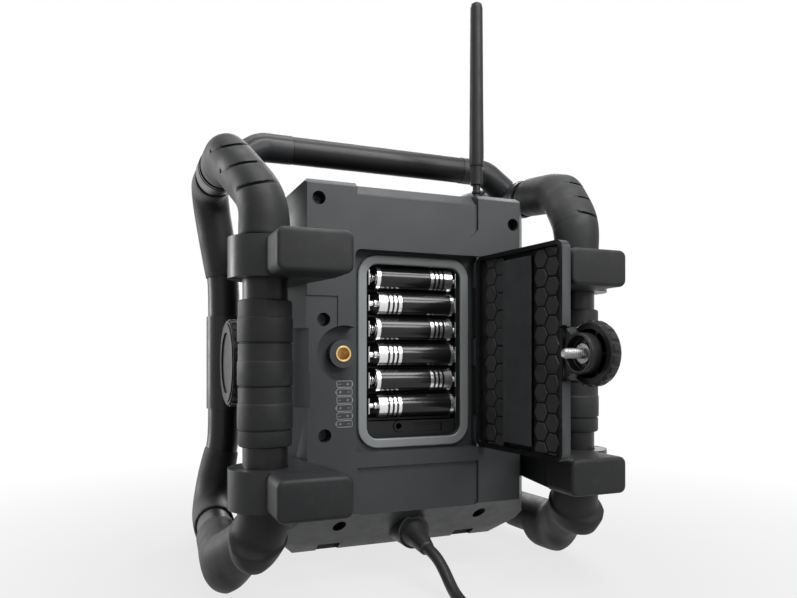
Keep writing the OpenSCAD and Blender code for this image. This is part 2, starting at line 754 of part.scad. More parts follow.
module door_knuckle() {
    translate(at(-hinge_x, hinge_depth, 0)) cylinder(h = door_knuckle_len, r = knuckle_r - 0.1);
    block([-hinge_x, door_face + 0.4, 0], [-hinge_x + 5, door_in - 1, door_knuckle_len]);
}

module door_foam_pad() {
    color("#3f4143") swing() rear_extrude(door_in - 1.8, door_in - 0.4)
        round_rect(foam_x0 + 0.3, door_low_z + 5.3, foam_x0 + foam_w - 0.3, door_top_z - 5.3, 0.8);
}

knob_boss_r = 3.9;
knob_in = cup_out - cup_floor_t - 0.3;      // face of the knob next to the cup
knob_out = knob_in - knob_t;
scallops = 18;

module door_knob() {
    color("#1d1d1e") swing() difference() {
        union() {
            // rim with scallops, its outer edge well rounded
            translate(at(insert_x, knob_in, knob_z)) rotate([-90, 0, 0]) difference() {
                rotate_extrude() polygon([[0, 0], [knob_r - 1.6, 0], [knob_r, 1.4],
                    [knob_r, knob_t - 4.6], [knob_r - 0.6, knob_t - 3], [knob_r - 1.8, knob_t - 1.7],
                    [knob_r - 3.6, knob_t - 0.7], [knob_r - 6, knob_t - 0.1], [knob_r - 8, knob_t],
                    [0, knob_t]]);
                for (k = [0:scallops - 1])
                    rotate(k * 360 / scallops) translate([knob_r + 0.7, 0, -1])
                        cylinder(h = knob_t + 2, r = 1.7, $fn = 24);
            }
            depth_rod(insert_x, knob_z, knob_in - 1, cup_out + 0.9, knob_boss_r);
        }
        // hollow side towards the door, with the boss and ribs left standing
        difference() {
            depth_rod(insert_x, knob_z, knob_out + 2.6, knob_in + 0.5, knob_r - 4.5);
            depth_rod(insert_x, knob_z, knob_out, cup_out + 1, knob_boss_r);
            for (a = [0:60:300])
                translate(at(insert_x, knob_out + 1, knob_z)) rotate([90, a, 0])
                    translate([0, -0.6, 0]) cube([knob_r - 3, 1.2, knob_t - 1.2]);
        }
        // socket in the outer face
        depth_rod(insert_x, knob_z, knob_out - 1, knob_out + 0.8, knob_r - 9);
        depth_rod(insert_x, knob_z, knob_out + 1.5, cup_out + 2, screw_r + 0.01);
    }
}

knob_screw_tip = 12.7;

module knob_screw() {
    color("#cfd1d3") swing() {
        depth_rod(insert_x, knob_z, knob_out + 1.6, knob_screw_tip - 1, screw_r);
        translate(at(insert_x, knob_screw_tip - 1, knob_z)) rotate([90, 0, 0])
            cylinder(h = 1, r1 = screw_r, r2 = screw_r - 0.7);
        // retaining ring that keeps the knob in the door
        difference() {
            depth_rod(insert_x, knob_z, cup_out + 1, cup_out + 1.8, 5.2);
            depth_rod(insert_x, knob_z, cup_out, cup_out + 3, screw_r - 0.1);
        }
    }
}

// ---------- antenna and gland ----------
antenna_d = 15;

module antenna_base() {
    color("#9b9d9f") translate(at(-antenna_x, antenna_d, housing_top - 5)) rotate_extrude()
        polygon([[0, 0], [4, 0], [4, 5.6], [2.4, 5.6], [2.4, 8.6], [3, 9], [3, 10.4],
            [2.4, 10.8], [2.4, 14.5], [0, 14.5]]);
}

module antenna_whip() {
    h = antenna_len;
    color("#121212") translate(at(-antenna_x, antenna_d, housing_top)) difference() {
        rotate_extrude()
            polygon([[0, 9.4], [3.8, 9.4], [3.8, 20.5], [4.5, 21.5], [4.6, 30], [4.3, h * 0.5],
                [3.9, h - 3.5], [3.3, h - 1], [1.8, h], [0, h]]);
        translate([0, 0, 9]) cylinder(h = 0.6, r = 2.8);
    }
}

gland_r = 8.7;
gland_z = ground_gap + 13;
gland_d = 9;
gland_tilt = 15;

module cord_gland() {
    color("#101010") {
        depth_rod(0, gland_z, gland_d - 1, slope_d + 4, gland_r);
        depth_rod(0, gland_z, slope_d + 2, slope_d + 6, gland_r + 1.6);
        translate(at(0, gland_d + 1, gland_z)) rotate([90 + gland_tilt, 0, 180])
            rotate_extrude() polygon([[0, 0], [gland_r - 0.4, 0], [gland_r - 0.4, 3], [6.2, 8],
                [4.4, 20], [cord_r + 0.1, 21], [0, 21]]);
    }
}

// ---------- cage ----------
module side_loop(s) {
    color("#19191a") mirror([s < 0 ? 1 : 0, 0, 0]) loop();
}

sleeve_low_z = (clamp_low_z + clamp_top_z) / 2 - 37;
sleeve_top_z = sleeve_low_z + 74;
sleeve_rings = 4;

// Ribbed grip round a rear upright.
module rear_sleeve(s) {
    color("#141415") translate(at(s * rear_x, -rear_stand, sleeve_low_z)) difference() {
        union() {
            cylinder(h = sleeve_top_z - sleeve_low_z, r = grip_r - 0.7);
            for (k = [0:sleeve_rings - 1])
                translate([0, 0, (k + 0.03) * (sleeve_top_z - sleeve_low_z) / sleeve_rings])
                    cylinder(h = (sleeve_top_z - sleeve_low_z) / sleeve_rings * 0.94,
                        r = grip_r);
        }
        translate([0, 0, -1])
            cylinder(h = sleeve_top_z - sleeve_low_z + 2, r = tube_r + fit_gap);
    }
}

// Bumper over the upper rear bend, from the clamp up, with grooves across its thick side.
module top_bumper(s) {
    r = grip_r - 1.2;
    t1 = loop_turn(1);
    t2 = loop_turn(2);
    foot = clamp_top_z + clamp_h / 2 + 0.4 - loop_place(1, 0)[0][2];
    out = [1.3, 0.7, 0];
    up = [1.6, 2.1, 2.1];
    top = [0.4, 0.3, 1.5];
    color("#202122") mirror([s < 0 ? 1 : 0, 0, 0])
        loop_sleeve(concat([[1, foot, r - 0.6, out / 2], [1, foot + 1, r, out], [1, 0, r, out],
            [1, 8, r, (out + up) / 2], [1, 17, r, up]], groove(1, 27, r, up), [[1, 39, r, up],
            [1, t1, r, up]], groove(1, t1 + 7, r, up), [[2, 0, r, up], [2, 10, r, up],
            [2, 17, r, up]], groove(2, 24, r, top), [[2, 32, r, top], [2, t2, r, top],
            [2, t2 + 22, r, top], [2, t2 + 23, r - 0.6, top / 2]]));
}

// Foot bumper over the lower rear bend: a rounded foot under the rail, and a deeper cup
// round the upright that flares towards its rim.
module foot_bumper(s) {
    r = foot_r;
    t0 = loop_turn(0);
    t7 = loop_turn(7);
    sole = [0.3, 0, -sole_t];
    bend_end = loop_place(0, t0)[0][2];
    rim = clamp_low_z - clamp_h / 2 - 0.4 - bend_end + t0;
    color("#202122") mirror([s < 0 ? 1 : 0, 0, 0])
        loop_sleeve(concat([[7, -40, r - 0.8], [7, -39, r], [7, -16, r], [7, -14, r, sole * 0.8],
            [7, -12, r, sole]], [for (k = [0:4]) [7, t7 * k / 4, r, sole]],
            [[7, t7 + 5, r, sole * 0.8], [7, t7 + 12, r, sole * 0.35], [0, 0, r, sole * 0.3],
            [0, 1, r + 1, [2, 2, -4]], [0, t0 * 0.12, r + 1.4, [2.4, 2.8, -5]],
            [0, t0 * 0.24, r + 1.8, [3, 3, -4.4]], [0, t0 * 0.36, r + 1.9, [3.6, 2.4, -3]],
            [0, t0 * 0.4, r + 0.6, [1.8, 1, 0]], [0, t0 * 0.6, r + 0.2, [1, 0.4, 0]],
            [0, t0 * 0.8, r, [0.9, 0.3, 0]],
            [0, t0, r, [0.8, 0.3, 0]], [0, rim, r - 0.2, [0.4, 0.2, 0]]]));
}

module front_top_bumpers() {
    r = tube_r + front_rubber_t;
    t = loop_turn(3);
    color("#1b1b1c") both_sides()
        loop_sleeve(concat([[3, -31, r - 0.6], [3, -30, r]],
            [for (k = [0:bend_steps[3]]) [3, t * k / bend_steps[3], r]],
            [[3, t + 14, r], [3, t + 42, r - 0.4], [3, t + 43, r - 0.8]]));
}

module front_foot_bumpers() {
    r = foot_r;
    t = loop_turn(6);
    color("#1b1b1c") both_sides()
        loop_sleeve(concat([[6, -20, r - 1.2], [6, -19, r - 0.8], [6, -4, r]],
            [for (k = [0:bend_steps[6]]) [6, t * k / bend_steps[6], r,
                [0, 0, -sole_t * min(1, k / bend_steps[6] * 1.6)]]],
            [[6, t + 16, r, [0, 0, -sole_t]], [6, t + 18, r, [0, 0, -sole_t * 0.8]],
            [6, t + 20, r], [6, t + 28, r], [6, t + 29, r - 0.8]]));
}

clamp_screw_x = half_w - 1.8;
clamp_seat_x = half_w - 3.6;    // where the bracket starts on the side chamfer
clamp_end_x = half_w - 13;      // inner end of the bracket's rear face, under the pad
function chamfer_y(x) = -(x - rear_face_w / 2) * side_cut_d / rear_chamfer_w;

// Bracket that holds a rear upright to the housing.
module rear_clamp(s, z) {
    color("#232425") mirror([s < 0 ? 1 : 0, 0, 0]) difference() {
        translate([0, rear_y, z - clamp_h / 2]) linear_extrude(clamp_h) {
            translate([rear_x, rear_stand]) circle(clamp_collar_r);
            polygon([[clamp_seat_x, chamfer_y(clamp_seat_x) + 0.06],
                [half_w - 0.1, chamfer_y(half_w - 0.1) + 0.06],
                [half_w + 5, 4 - side_cut_d], [rear_x + 4, 4],
                [rear_x, rear_stand + clamp_collar_r],
                [clamp_end_x, rear_stand + clamp_collar_r]]);
        }
        translate(at(rear_x, -rear_stand, z - clamp_h)) cylinder(h = 2 * clamp_h,
            r = tube_r + fit_gap);
        depth_rod(clamp_screw_x, z, -10, side_cut_d + 1, screw_shank_r + 0.15);
        depth_rod(clamp_screw_x, z, -rear_stand - clamp_collar_r - 1, clamp_head_d, 3.4);
        // saw cut that lets the collar close on the tube
        block([rear_x + tube_r - 1, -rear_stand - 0.8, z - clamp_h],
            [rear_x + clamp_collar_r + 1, -rear_stand + 0.8, z + clamp_h]);
    }
}

clamp_head_d = -1;      // depth at which the heads of the clamp screws seat
pad_in_x = half_w - 17;
pad_out_x = half_w + 20;
pad_corner_r = 4;

// Rubber buffer blocks on the four clamps; the radio can lie on them.
module clamp_pads() {
    foot_d = -rear_stand - clamp_collar_r - 0.05;
    color("#262728") both_sides() for (z = [clamp_low_z, clamp_top_z]) {
        lo = z - clamp_h / 2;
        hi = z + clamp_h / 2;
        rear_extrude(3 - pad_reach, foot_d)
            round_rect(pad_in_x, lo, pad_out_x, hi, pad_corner_r);
        rear_extrude(1.2 - pad_reach, 3 - pad_reach)
            round_rect(pad_in_x + 0.8, lo + 0.8, pad_out_x - 0.8, hi - 0.8, pad_corner_r - 0.4);
        rear_extrude(-pad_reach, 1.2 - pad_reach)
            round_rect(pad_in_x + 2, lo + 2, pad_out_x - 2, hi - 2, pad_corner_r - 1);
    }
}

module clamp_screws() {
    color("#7d7f81") {
        for (s = [-1, 1], z = [clamp_low_z, clamp_top_z]) {
            depth_rod(s * clamp_screw_x, z, clamp_head_d - 2.4, clamp_head_d, 3.1);
            depth_rod(s * clamp_screw_x, z, clamp_head_d - 1, 20, screw_shank_r);
        }
        for (s = [-1, 1], z = [dial_z - 14, dial_z + 14]) {
            depth_rod(s * front_screw_x, z, housing_d + 5, housing_d + 7.4, 3.1);
            depth_rod(s * front_screw_x, z, housing_d - 10, housing_d + 6, screw_shank_r);
        }
    }
}

front_screw_x = half_w - 11;
front_clamp_h = 67;

// Grip and bracket round a front upright, screwed to the housing's front face.
module front_clamp(s) {
    color("#1b1b1c") mirror([s < 0 ? 1 : 0, 0, 0]) difference() {
        union() {
            translate(at(front_waist_x, front_tube_d, dial_z - front_clamp_h / 2))
                cylinder(h = front_clamp_h, r = front_grip_r);
            translate([0, rear_y - housing_d, dial_z - 22]) linear_extrude(44)
                polygon([[half_w - 17, -0.05], [half_w - front_cut, -0.05],
                    [front_waist_x, -3], [front_waist_x, -front_stand - 9],
                    [half_w - 1, -front_stand - 6], [half_w - 17, -7]]);
        }
        translate(at(front_waist_x, front_tube_d, dial_z - front_clamp_h))
            cylinder(h = 2 * front_clamp_h, r = tube_r + fit_gap);
        for (z = [dial_z - 14, dial_z + 14]) {
            depth_rod(front_screw_x, z, housing_d - 1, housing_d + 30, screw_shank_r + 0.15);
            depth_rod(front_screw_x, z, housing_d + 5, housing_d + 30, 3.4);
        }
        // keeps the turning dial free
        translate(at(housing_w / 2 - 1, dial_d, dial_z)) rotate([0, 90, 0])
            cylinder(h = dial_w + 6, r = dial_r + 1);
    }
}

// ---------- handle ----------
elbow_x = half_w - 18;
elbow_bend_x = half_w + 2;
rail_at_handle = loop_points[2] + (loop_points[3] - loop_points[2])
    * ((handle_depth - 15) / (front_tube_d - 15));
tenon_r = 5;
tenon_len = 14;

module handle_bar() {
    color("#1d1e1f") {
        rod(at(-elbow_x, handle_depth, handle_z), at(elbow_x, handle_depth, handle_z), handle_r);
        rod(at(-elbow_x - tenon_len, handle_depth, handle_z),
            at(elbow_x + tenon_len, handle_depth, handle_z), tenon_r);
    }
}

elbow_path = [at(elbow_x + 0.05, handle_depth, handle_z),
    at(elbow_bend_x, handle_depth, handle_z), rail_at_handle];
elbow_bends = [0, 16, 0];

module handle_elbow(s) {
    turn = turn_of(elbow_path, 1);
    lead = elbow_bend_x - elbow_x - elbow_bends[1] * tan(turn / 2) - 0.05;
    reach = norm(elbow_path[2] - elbow_path[1]) - elbow_bends[1] * tan(turn / 2);
    stations = concat([[-lead, handle_r + 0.3]],
        [for (k = [0:5]) [turn * k / 5, handle_r + 0.4]], [[turn + reach - 3, handle_r + 0.8]]);
    color("#1a1b1c") mirror([s < 0 ? 1 : 0, 0, 0]) difference() {
        union() {
            skin([for (q = stations) ring(place(elbow_path, elbow_bends, 1, q[0]), q[1],
                [0, 1, 0], tube_sides)], tube_sides);
            rail_collar(30, tube_r + 1.3);
            rail_collar(22, tube_r + 1.7);
        }
        rail_collar(60, tube_r + fit_gap);
        rod(at(elbow_x - 1, handle_depth, handle_z),
            at(elbow_x + tenon_len + 1, handle_depth, handle_z), tenon_r + 0.1);
    }
}

module rail_collar(width, r) {
    along = unit(loop_points[3] - loop_points[2]);
    rod(rail_at_handle - along * width / 2, rail_at_handle + along * width / 2, r);
}

// ---------- controls and inner parts ----------
dial_d = 105;
dial_shaft_r = 4;

// Local Z points outwards along a side dial's axis, from the housing's inner wall.
module rotate_about_dial(s) {
    translate(at(s * (housing_w / 2 - 12), dial_d, dial_z)) rotate([0, s * 90, 0]) children();
}

dial_grips = 24;

module side_dial(s) {
    color("#1f2021") rotate_about_dial(s) difference() {
        union() {
            translate([0, 0, -3]) cylinder(h = 18, r = dial_shaft_r);
            translate([0, 0, -4.5]) cylinder(h = 1.8, r = dial_shaft_r + 2.5);
            translate([0, 0, 12.5]) difference() {
                union() {
                    cylinder(h = 2.5, r = dial_r - 3);
                    translate([0, 0, 2]) cylinder(h = dial_w - 4, r = dial_r);
                    translate([0, 0, dial_w - 2]) cylinder(h = 1.2, r = dial_r - 1.2);
                    translate([0, 0, dial_w - 1]) cylinder(h = 1, r = dial_r - 3);
                }
                for (k = [0:dial_grips - 1])
                    rotate(k * 360 / dial_grips) translate([dial_r + 1.4, 0, -1])
                        cylinder(h = dial_w + 2, r = 2.6, $fn = 32);
                translate([0, 0, dial_w - 1.2]) cylinder(h = 3, r = dial_r - 9);
            }
        }
        // pointer notch
        translate([0, dial_r - 9, 12.5 + dial_w - 1]) cylinder(h = 3, r = 1.5);
    }
}

grille_pitch = 9.6;

module speaker_grille() {
    color("#2a2b2c") difference() {
        union() {
            depth_rod(0, speaker_z, housing_d - 1.3, housing_d + 1.2, speaker_r + 4);
            depth_rod(0, speaker_z, housing_d - 1.3, housing_d + 2.2, speaker_r + 1);
        }
        depth_rod(0, speaker_z, housing_d + 1, housing_d + 3, speaker_r - 2);
        rear_extrude(housing_d - 3, housing_d + 4) translate([0, speaker_z])
            for (i = [-6:6], j = [-6:6]) {
                x = (i + (j % 2 == 0 ? 0 : 0.5)) * grille_pitch;
                z = j * grille_pitch * 0.866;
                if (norm([x, z]) < speaker_r - 6)
                    translate([x, z]) rotate(30) circle(r = grille_pitch * 0.48, $fn = 6);
            }
    }
}

module speaker_basket() {
    color("#4a4c4e") translate(at(0, housing_d - 6.1, speaker_z)) rotate([-90, 0, 0])
        rotate_extrude() polygon([[speaker_r + 3, 0], [speaker_r + 3, 2], [speaker_r - 4, 2],
            [34, 24], [34, 28], [30, 28], [30, 44], [0, 44], [0, 30], [22, 30], [22, 22],
            [30, 22], [speaker_r - 6, 0.5], [speaker_r - 5, 0]]);
}

module speaker_cone() {
    color("#18181a") translate(at(0, housing_d - 5.9, speaker_z)) rotate([-90, 0, 0])
        rotate_extrude() polygon([[speaker_r - 0.5, 0], [speaker_r - 3, -1.6],
            [speaker_r - 6.5, -1.2], [speaker_r - 9, 0.6], [18, 20], [12, 16], [0, 13.5],
            [0, 15], [11, 18], [19, 22.4], [speaker_r - 8, 1.6], [speaker_r - 6.2, 0],
            [speaker_r - 3, -0.6], [speaker_r - 1, 0.1]]);
}

display_z = housing_top - 30.5;

module display_outline(g) {
    round_rect(-display_w / 2 - g, display_z - display_h / 2 - g, display_w / 2 + g,
        display_z + display_h / 2 + g, 4 + g);
}

module display_window() {
    color("#11181c") rear_extrude(housing_d - 1.3, housing_d + 0.4) display_outline(0);
}

button_x = [-36, -12, 12, 36];
button_z = display_z - display_h / 2 - 12;
board_x = half_w - 11;
board_d = housing_d - 15;
board_t = 1.6;
board_low_z = button_z - 12;
board_top_z = housing_top - 8;

// Circuit board with the display module and the four key switches on it. What stands on
// the board starts at its middle.
module main_board() {
    mid_d = board_d + board_t / 2;
    color("#1f4d35") {
        block([-board_x, board_d, board_low_z], [board_x, board_d + board_t, board_top_z]);
        block([-display_w / 2 + 4, mid_d, display_z - display_h / 2 + 4],
            [display_w / 2 - 4, housing_d - 1.4, display_z + display_h / 2 - 4]);
        for (x = button_x)
            block([x - 3, mid_d, button_z - 3],
                [x + 3, housing_d - wall - 3.6 - button_travel, button_z + 3]);
        block([-52, board_d - 12, board_top_z - 22], [-30, mid_d, board_top_z - 6]);
        block([20, board_d - 9, board_top_z - 30], [48, mid_d, board_top_z - 8]);
    }
}

module button_outline(g) {
    round_rect(-9 - g, -4 - g, 9 + g, 4 + g, 3.6 + g);
}

module button(i) {
    color("#3c3e40") {
        rear_extrude(housing_d - wall - 1, housing_d + 1.8)
            translate([button_x[i], button_z]) button_outline(0);
        rear_extrude(housing_d - wall - 2.2, housing_d - wall - 0.4)
            translate([button_x[i], button_z]) button_outline(1.4);
        depth_rod(button_x[i], button_z, housing_d - wall - 3.5, housing_d - wall - 1, 2);
    }
}

// Mains transformer: lamination stack with its winding, on the housing's floor.
module mains_transformer() {
    z0 = ground_gap + wall + 0.05;
    color("#6f5a3c") {
        block([-28, 62, z0], [28, 86, z0 + 40]);
        block([-17, 54.5, z0 + 8], [17, 93.5, z0 + 32]);
    }
}

// ---------- power cord ----------
cord_r = cord_d / 2;
cord_sides = 10;
floor_z = cord_r + 0.05;  // height of the cord's axis where it lies on the floor
lead_drop = (gland_z - 5 - floor_z) / (22 - floor_z);
// A point of the lead given as distance left, distance behind the rear face and height.
function lead(p) = [p[0], rear_y + p[1], floor_z + (p[2] - floor_z) * lead_drop];
// Route from the gland to the coil, on the floor from the tenth point on.
cord_route = [for (p = [[0, 10.5, 22], [-0.7, 14.5, 20.8], [-1.5, 18.5, 19], [-2.1, 23, 16.3],
    [-2.3, 28, 13.1], [-2.1, 33, 10], [-1.8, 38, 7.2], [-1.6, 43, 5.2], [-1.5, 48, 3.9],
    [-1.4, 54, 3.35], [-1.3, 64, 3.35], [-1.2, 75, 3.35], [-1.2, 86, 3.35], [-1.2, 96, 3.35],
    [-1, 106, 3.35], [-0.6, 116, 3.35], [-0.2, 125, 3.35], [0, 134, 3.35]]) lead(p)];
coil_centre = [47, rear_y + 134];
coil_in_r = 23.5;
coil_out_r = 50.3;
coil_h = 13.2;
tail_route = [for (p = [[47, 177.6, 9.2], [57, 177.9, 9.6], [67, 178.1, 10.6], [78, 178.2, 12],
    [89, 178.2, 13.1], [98, 178.2, 13.5]]) [p[0], rear_y + p[1], p[2]]];

// Tube swept along a route, one ring of points at each of its points.
module swept_tube(p) {
    n = len(p);
    skin([for (i = [0:n - 1])
        ring([p[i], unit(p[min(i + 1, n - 1)] - p[max(i - 1, 0)])], cord_r, [0, 0, 1],
            cord_sides)], cord_sides);
}

module power_cord() {
    color("#131313") swept_tube(cord_route);
}

module cord_tail() {
    color("#131313") swept_tube(tail_route);
}

module cord_coil() {
    color("#151515") translate([coil_centre[0], coil_centre[1], 0]) rotate_extrude()
        round_rect(coil_in_r, 0, coil_out_r, coil_h, 4);
}

plug_z = 13.5;

// Two-pin contour plug lying flat, with its bend relief towards the cord.
module mains_plug() {
    tip = tail_route[len(tail_route) - 1];
    color("#161616") translate([tip[0], tip[1], plug_z]) rotate([0, 90, 0]) {
        rotate_extrude() polygon([[0, 0], [4, 0], [6.4, 15], [6.4, 17], [0, 17]]);
        difference() {
            translate([0, 0, 16]) intersection() {
                cylinder(h = 33, r1 = 12, r2 = 17.5);
                translate([-13, -17.5, 0]) cube([26, 35, 33]);
            }
            for (s = [-1, 1]) translate([0, s * 22, 38]) cylinder(h = 12, r = 8);
        }
        for (s = [-1, 1]) translate([0, s * 9.5, 48]) {
            cylinder(h = 18, r = 2.4);
            translate([0, 0, 18]) sphere(2.4);
        }
    }
}

rear_shell();
front_shell();
shell_seal();
shell_screws();
battery_tray();
battery_contacts();
battery_cell(0);  // battery_cell_1
battery_cell(1);  // battery_cell_2
battery_cell(2);  // battery_cell_3
battery_cell(3);  // battery_cell_4
battery_cell(4);  // battery_cell_5
battery_cell(5);  // battery_cell_6
compartment_gasket();
aux_jack();
brass_insert();
hinge_pin();
battery_door();
door_foam_pad();
door_knob();
knob_screw();
antenna_base();
antenna_whip();
cord_gland();
side_loop(1);  // side_loop_left
side_loop(-1);  // side_loop_right
handle_bar();
handle_elbow(1);  // handle_elbow_left
handle_elbow(-1);  // handle_elbow_right
rear_sleeve(1);  // rear_sleeve_left
rear_sleeve(-1);  // rear_sleeve_right
top_bumper(1);  // top_bumper_left
top_bumper(-1);  // top_bumper_right
foot_bumper(1);  // foot_bumper_left
foot_bumper(-1);  // foot_bumper_right
front_top_bumpers();
front_foot_bumpers();
rear_clamp(1, clamp_top_z);  // rear_clamp_top_left
rear_clamp(-1, clamp_top_z);  // rear_clamp_top_right
rear_clamp(1, clamp_low_z);  // rear_clamp_low_left
rear_clamp(-1, clamp_low_z);  // rear_clamp_low_right
clamp_pads();
clamp_screws();
front_clamp(1);  // front_clamp_left
front_clamp(-1);  // front_clamp_right
side_dial(1);  // side_dial_left
side_dial(-1);  // side_dial_right
speaker_grille();
speaker_basket();
speaker_cone();
display_window();
main_board();
mains_transformer();
button(0);  // button_power
button(1);  // button_band
button(2);  // button_down
button(3);  // button_up
power_cord();
cord_coil();
cord_tail();
mains_plug();
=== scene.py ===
# %% [markdown]
# # A jobsite radio in its cage
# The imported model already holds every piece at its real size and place. This script
# gives each piece its finish, rounds the moulded edges as a toolmaker would, and adds what is
# too fine for the construction model: the lead's turns, springs, printed marks and threads.
# Lengths are in metres unless a name or a note says millimetres. X runs from side to side, Y
# from the front to the rear wall, and Z upwards.

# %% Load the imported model
import json
import math

import bmesh
import bpy
from mathutils import Matrix, Vector


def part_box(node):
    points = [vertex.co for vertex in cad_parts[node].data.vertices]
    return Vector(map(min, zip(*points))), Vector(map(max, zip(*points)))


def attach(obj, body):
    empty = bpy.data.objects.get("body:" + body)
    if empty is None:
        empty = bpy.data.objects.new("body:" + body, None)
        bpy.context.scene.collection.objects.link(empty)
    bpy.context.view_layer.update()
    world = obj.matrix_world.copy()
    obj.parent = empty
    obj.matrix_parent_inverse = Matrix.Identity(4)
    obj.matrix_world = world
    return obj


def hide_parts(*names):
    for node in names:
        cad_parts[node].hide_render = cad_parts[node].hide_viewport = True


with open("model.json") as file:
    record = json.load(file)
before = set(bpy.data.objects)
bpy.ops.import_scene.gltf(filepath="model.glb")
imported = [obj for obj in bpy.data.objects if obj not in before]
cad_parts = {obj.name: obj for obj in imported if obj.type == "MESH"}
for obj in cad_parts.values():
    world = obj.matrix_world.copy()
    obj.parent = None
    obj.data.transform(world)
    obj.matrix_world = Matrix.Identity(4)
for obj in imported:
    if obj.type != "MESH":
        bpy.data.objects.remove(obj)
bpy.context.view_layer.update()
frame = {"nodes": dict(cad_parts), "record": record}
record = frame["record"]
slot_of = {part["node"]: part["material_slot"] for part in record["subparts"]}
body_of = {node: body for body, nodes in record["behaviour"]["bodies"].items() for node in nodes}
bpy.ops.object.select_all(action="DESELECT")

# %% [markdown]
# ## The camera
# The camera stands behind the radio's left corner, low down, and level. A level camera keeps
# upright edges parallel, so the horizon is placed by shifting the lens and not by tilting it.

# %% Camera
EYE = (0.1679, 0.4015, 0.132)
TURNED_DEG = 157.4  # 180 would look square at the rear wall
camera = bpy.data.objects.new("camera", bpy.data.cameras.new("camera"))
bpy.context.collection.objects.link(camera)
camera.location = EYE
camera.rotation_euler = (math.radians(90), 0, math.radians(TURNED_DEG))
camera.data.sensor_width = 36
camera.data.lens = 31.17
camera.data.shift_y = 0.0728
camera.data.clip_start = 0.01
bpy.context.scene.camera = camera
print("camera at", EYE)

# %% [markdown]
# ## Tools for editing
# Blender's operators act on whatever is selected, so small helpers keep the selection in
# hand. One makes a piece the only selected object, one opens it for editing with nothing
# selected, and one selects the faces, edges or points that pass a test of place or direction.

# %% Selection helpers


def only(piece):
    bpy.ops.object.select_all(action="DESELECT")
    piece.select_set(True)
    bpy.context.view_layer.objects.active = piece


def edit(piece):
    only(piece)
    bpy.ops.object.mode_set(mode="EDIT")
    bpy.ops.mesh.select_all(action="DESELECT")


def leave():
    bpy.ops.object.mode_set(mode="OBJECT")


def take_all():
    bpy.ops.mesh.select_all(action="SELECT")


def face_outward():
    take_all()
    bpy.ops.mesh.normals_make_consistent(inside=False)


def pull(way):
    """Extrude what is selected by a vector."""
    bpy.ops.mesh.extrude_region_move(TRANSFORM_OT_translate={"value": way})


def pick(kind, test):
    """Select the faces, edges or points of the mesh being edited that pass the test."""
    bpy.ops.mesh.select_all(action="DESELECT")
    bpy.ops.mesh.select_mode(type=kind)
    mesh = bpy.context.object.data
    work = bmesh.from_edit_mesh(mesh)
    parts = {"FACE": work.faces, "EDGE": work.edges, "VERT": work.verts}[kind]
    chosen = [part for part in parts if test(part)]
    for part in chosen:
        part.select_set(True)
    work.select_flush_mode()
    bmesh.update_edit_mesh(mesh)
    return len(chosen)


def run_along(axis):
    """Test for edges that lie along one axis, given as 0, 1 or 2."""
    def test(edge):
        way = (edge.verts[1].co - edge.verts[0].co).normalized()
        return abs(way[axis]) > 0.99
    return test


def settle(piece):
    only(piece)
    bpy.ops.object.transform_apply(location=True, rotation=True, scale=True)
    return piece


def apply(piece, name):
    only(piece)
    bpy.ops.object.modifier_apply(modifier=name)


def shade(degrees):
    """Smooth shading that stops at edges sharper than the angle."""
    bpy.ops.object.shade_smooth_by_angle(angle=math.radians(degrees))


# %% [markdown]
# ## Starting shapes
# A new piece starts as a block, a round rod, or an outline drawn point by point. None of them
# stays that plain: each is cut, inset, bevelled or spun in its own cell.

# %% Starting shapes and joining


def block(name, size, place=(0, 0, 0)):
    bpy.ops.mesh.primitive_cube_add(size=1, location=place)
    piece = bpy.context.object
    piece.name = name
    piece.scale = size
    return settle(piece)


def rod(name, radius, length, place, sides, axis="Y"):
    turn = (math.pi / 2, 0, 0) if axis == "Y" else (0, math.pi / 2, 0)
    bpy.ops.mesh.primitive_cylinder_add(vertices=sides, radius=radius, depth=length,
                                        rotation=turn, location=place)
    piece = bpy.context.object
    piece.name = name
    return settle(piece)


def drawn(name, points, edges=(), faces=()):
    mesh = bpy.data.meshes.new(name)
    mesh.from_pydata(points, edges, faces)
    piece = bpy.data.objects.new(name, mesh)
    bpy.context.collection.objects.link(piece)
    return piece


def thickened(piece, way):
    """Pull a piece drawn as bare faces to its thickness."""
    edit(piece)
    take_all()
    pull(way)
    face_outward()
    leave()
    return piece


def joined(name, pieces):
    only(pieces[0])
    for piece in pieces:
        piece.select_set(True)
    if len(pieces) > 1:
        bpy.ops.object.join()
    pieces[0].name = name
    return settle(pieces[0])


# %% [markdown]
# ## From construction solid to moulding
# The construction model has knife-sharp edges. Real mouldings never do, and on black plastic
# the narrow light along a rounded edge is what the eye reads first. So a copy of each visible
# solid is stitched together, its flat faces are made whole again, and a Bevel modifier rounds
# every edge sharper than a set angle. Rubber and bent tube get a Subdivision Surface instead,
# because their sections are round and their rims soft.

# %% Rounding helpers
WELD = 0.000004  # points nearer to each other than this become one
HOLLOW = -0.42  # radians; an edge that folds inwards further than this lines a groove
RIM_CREASE = 0.7  # how firmly the cut ends of tube and rubber hold


def stitched(node, flatten=True):
    """Copy of a CAD node with its loose triangles joined and its flat faces made whole."""
    source = frame["nodes"][node]
    piece = bpy.data.objects.new(node + "_moulded", source.data.copy())
    bpy.context.collection.objects.link(piece)
    edit(piece)
    take_all()
    bpy.ops.mesh.remove_doubles(threshold=WELD)
    if flatten:
        bpy.ops.mesh.dissolve_limited(angle_limit=math.radians(0.6))
    leave()
    return piece


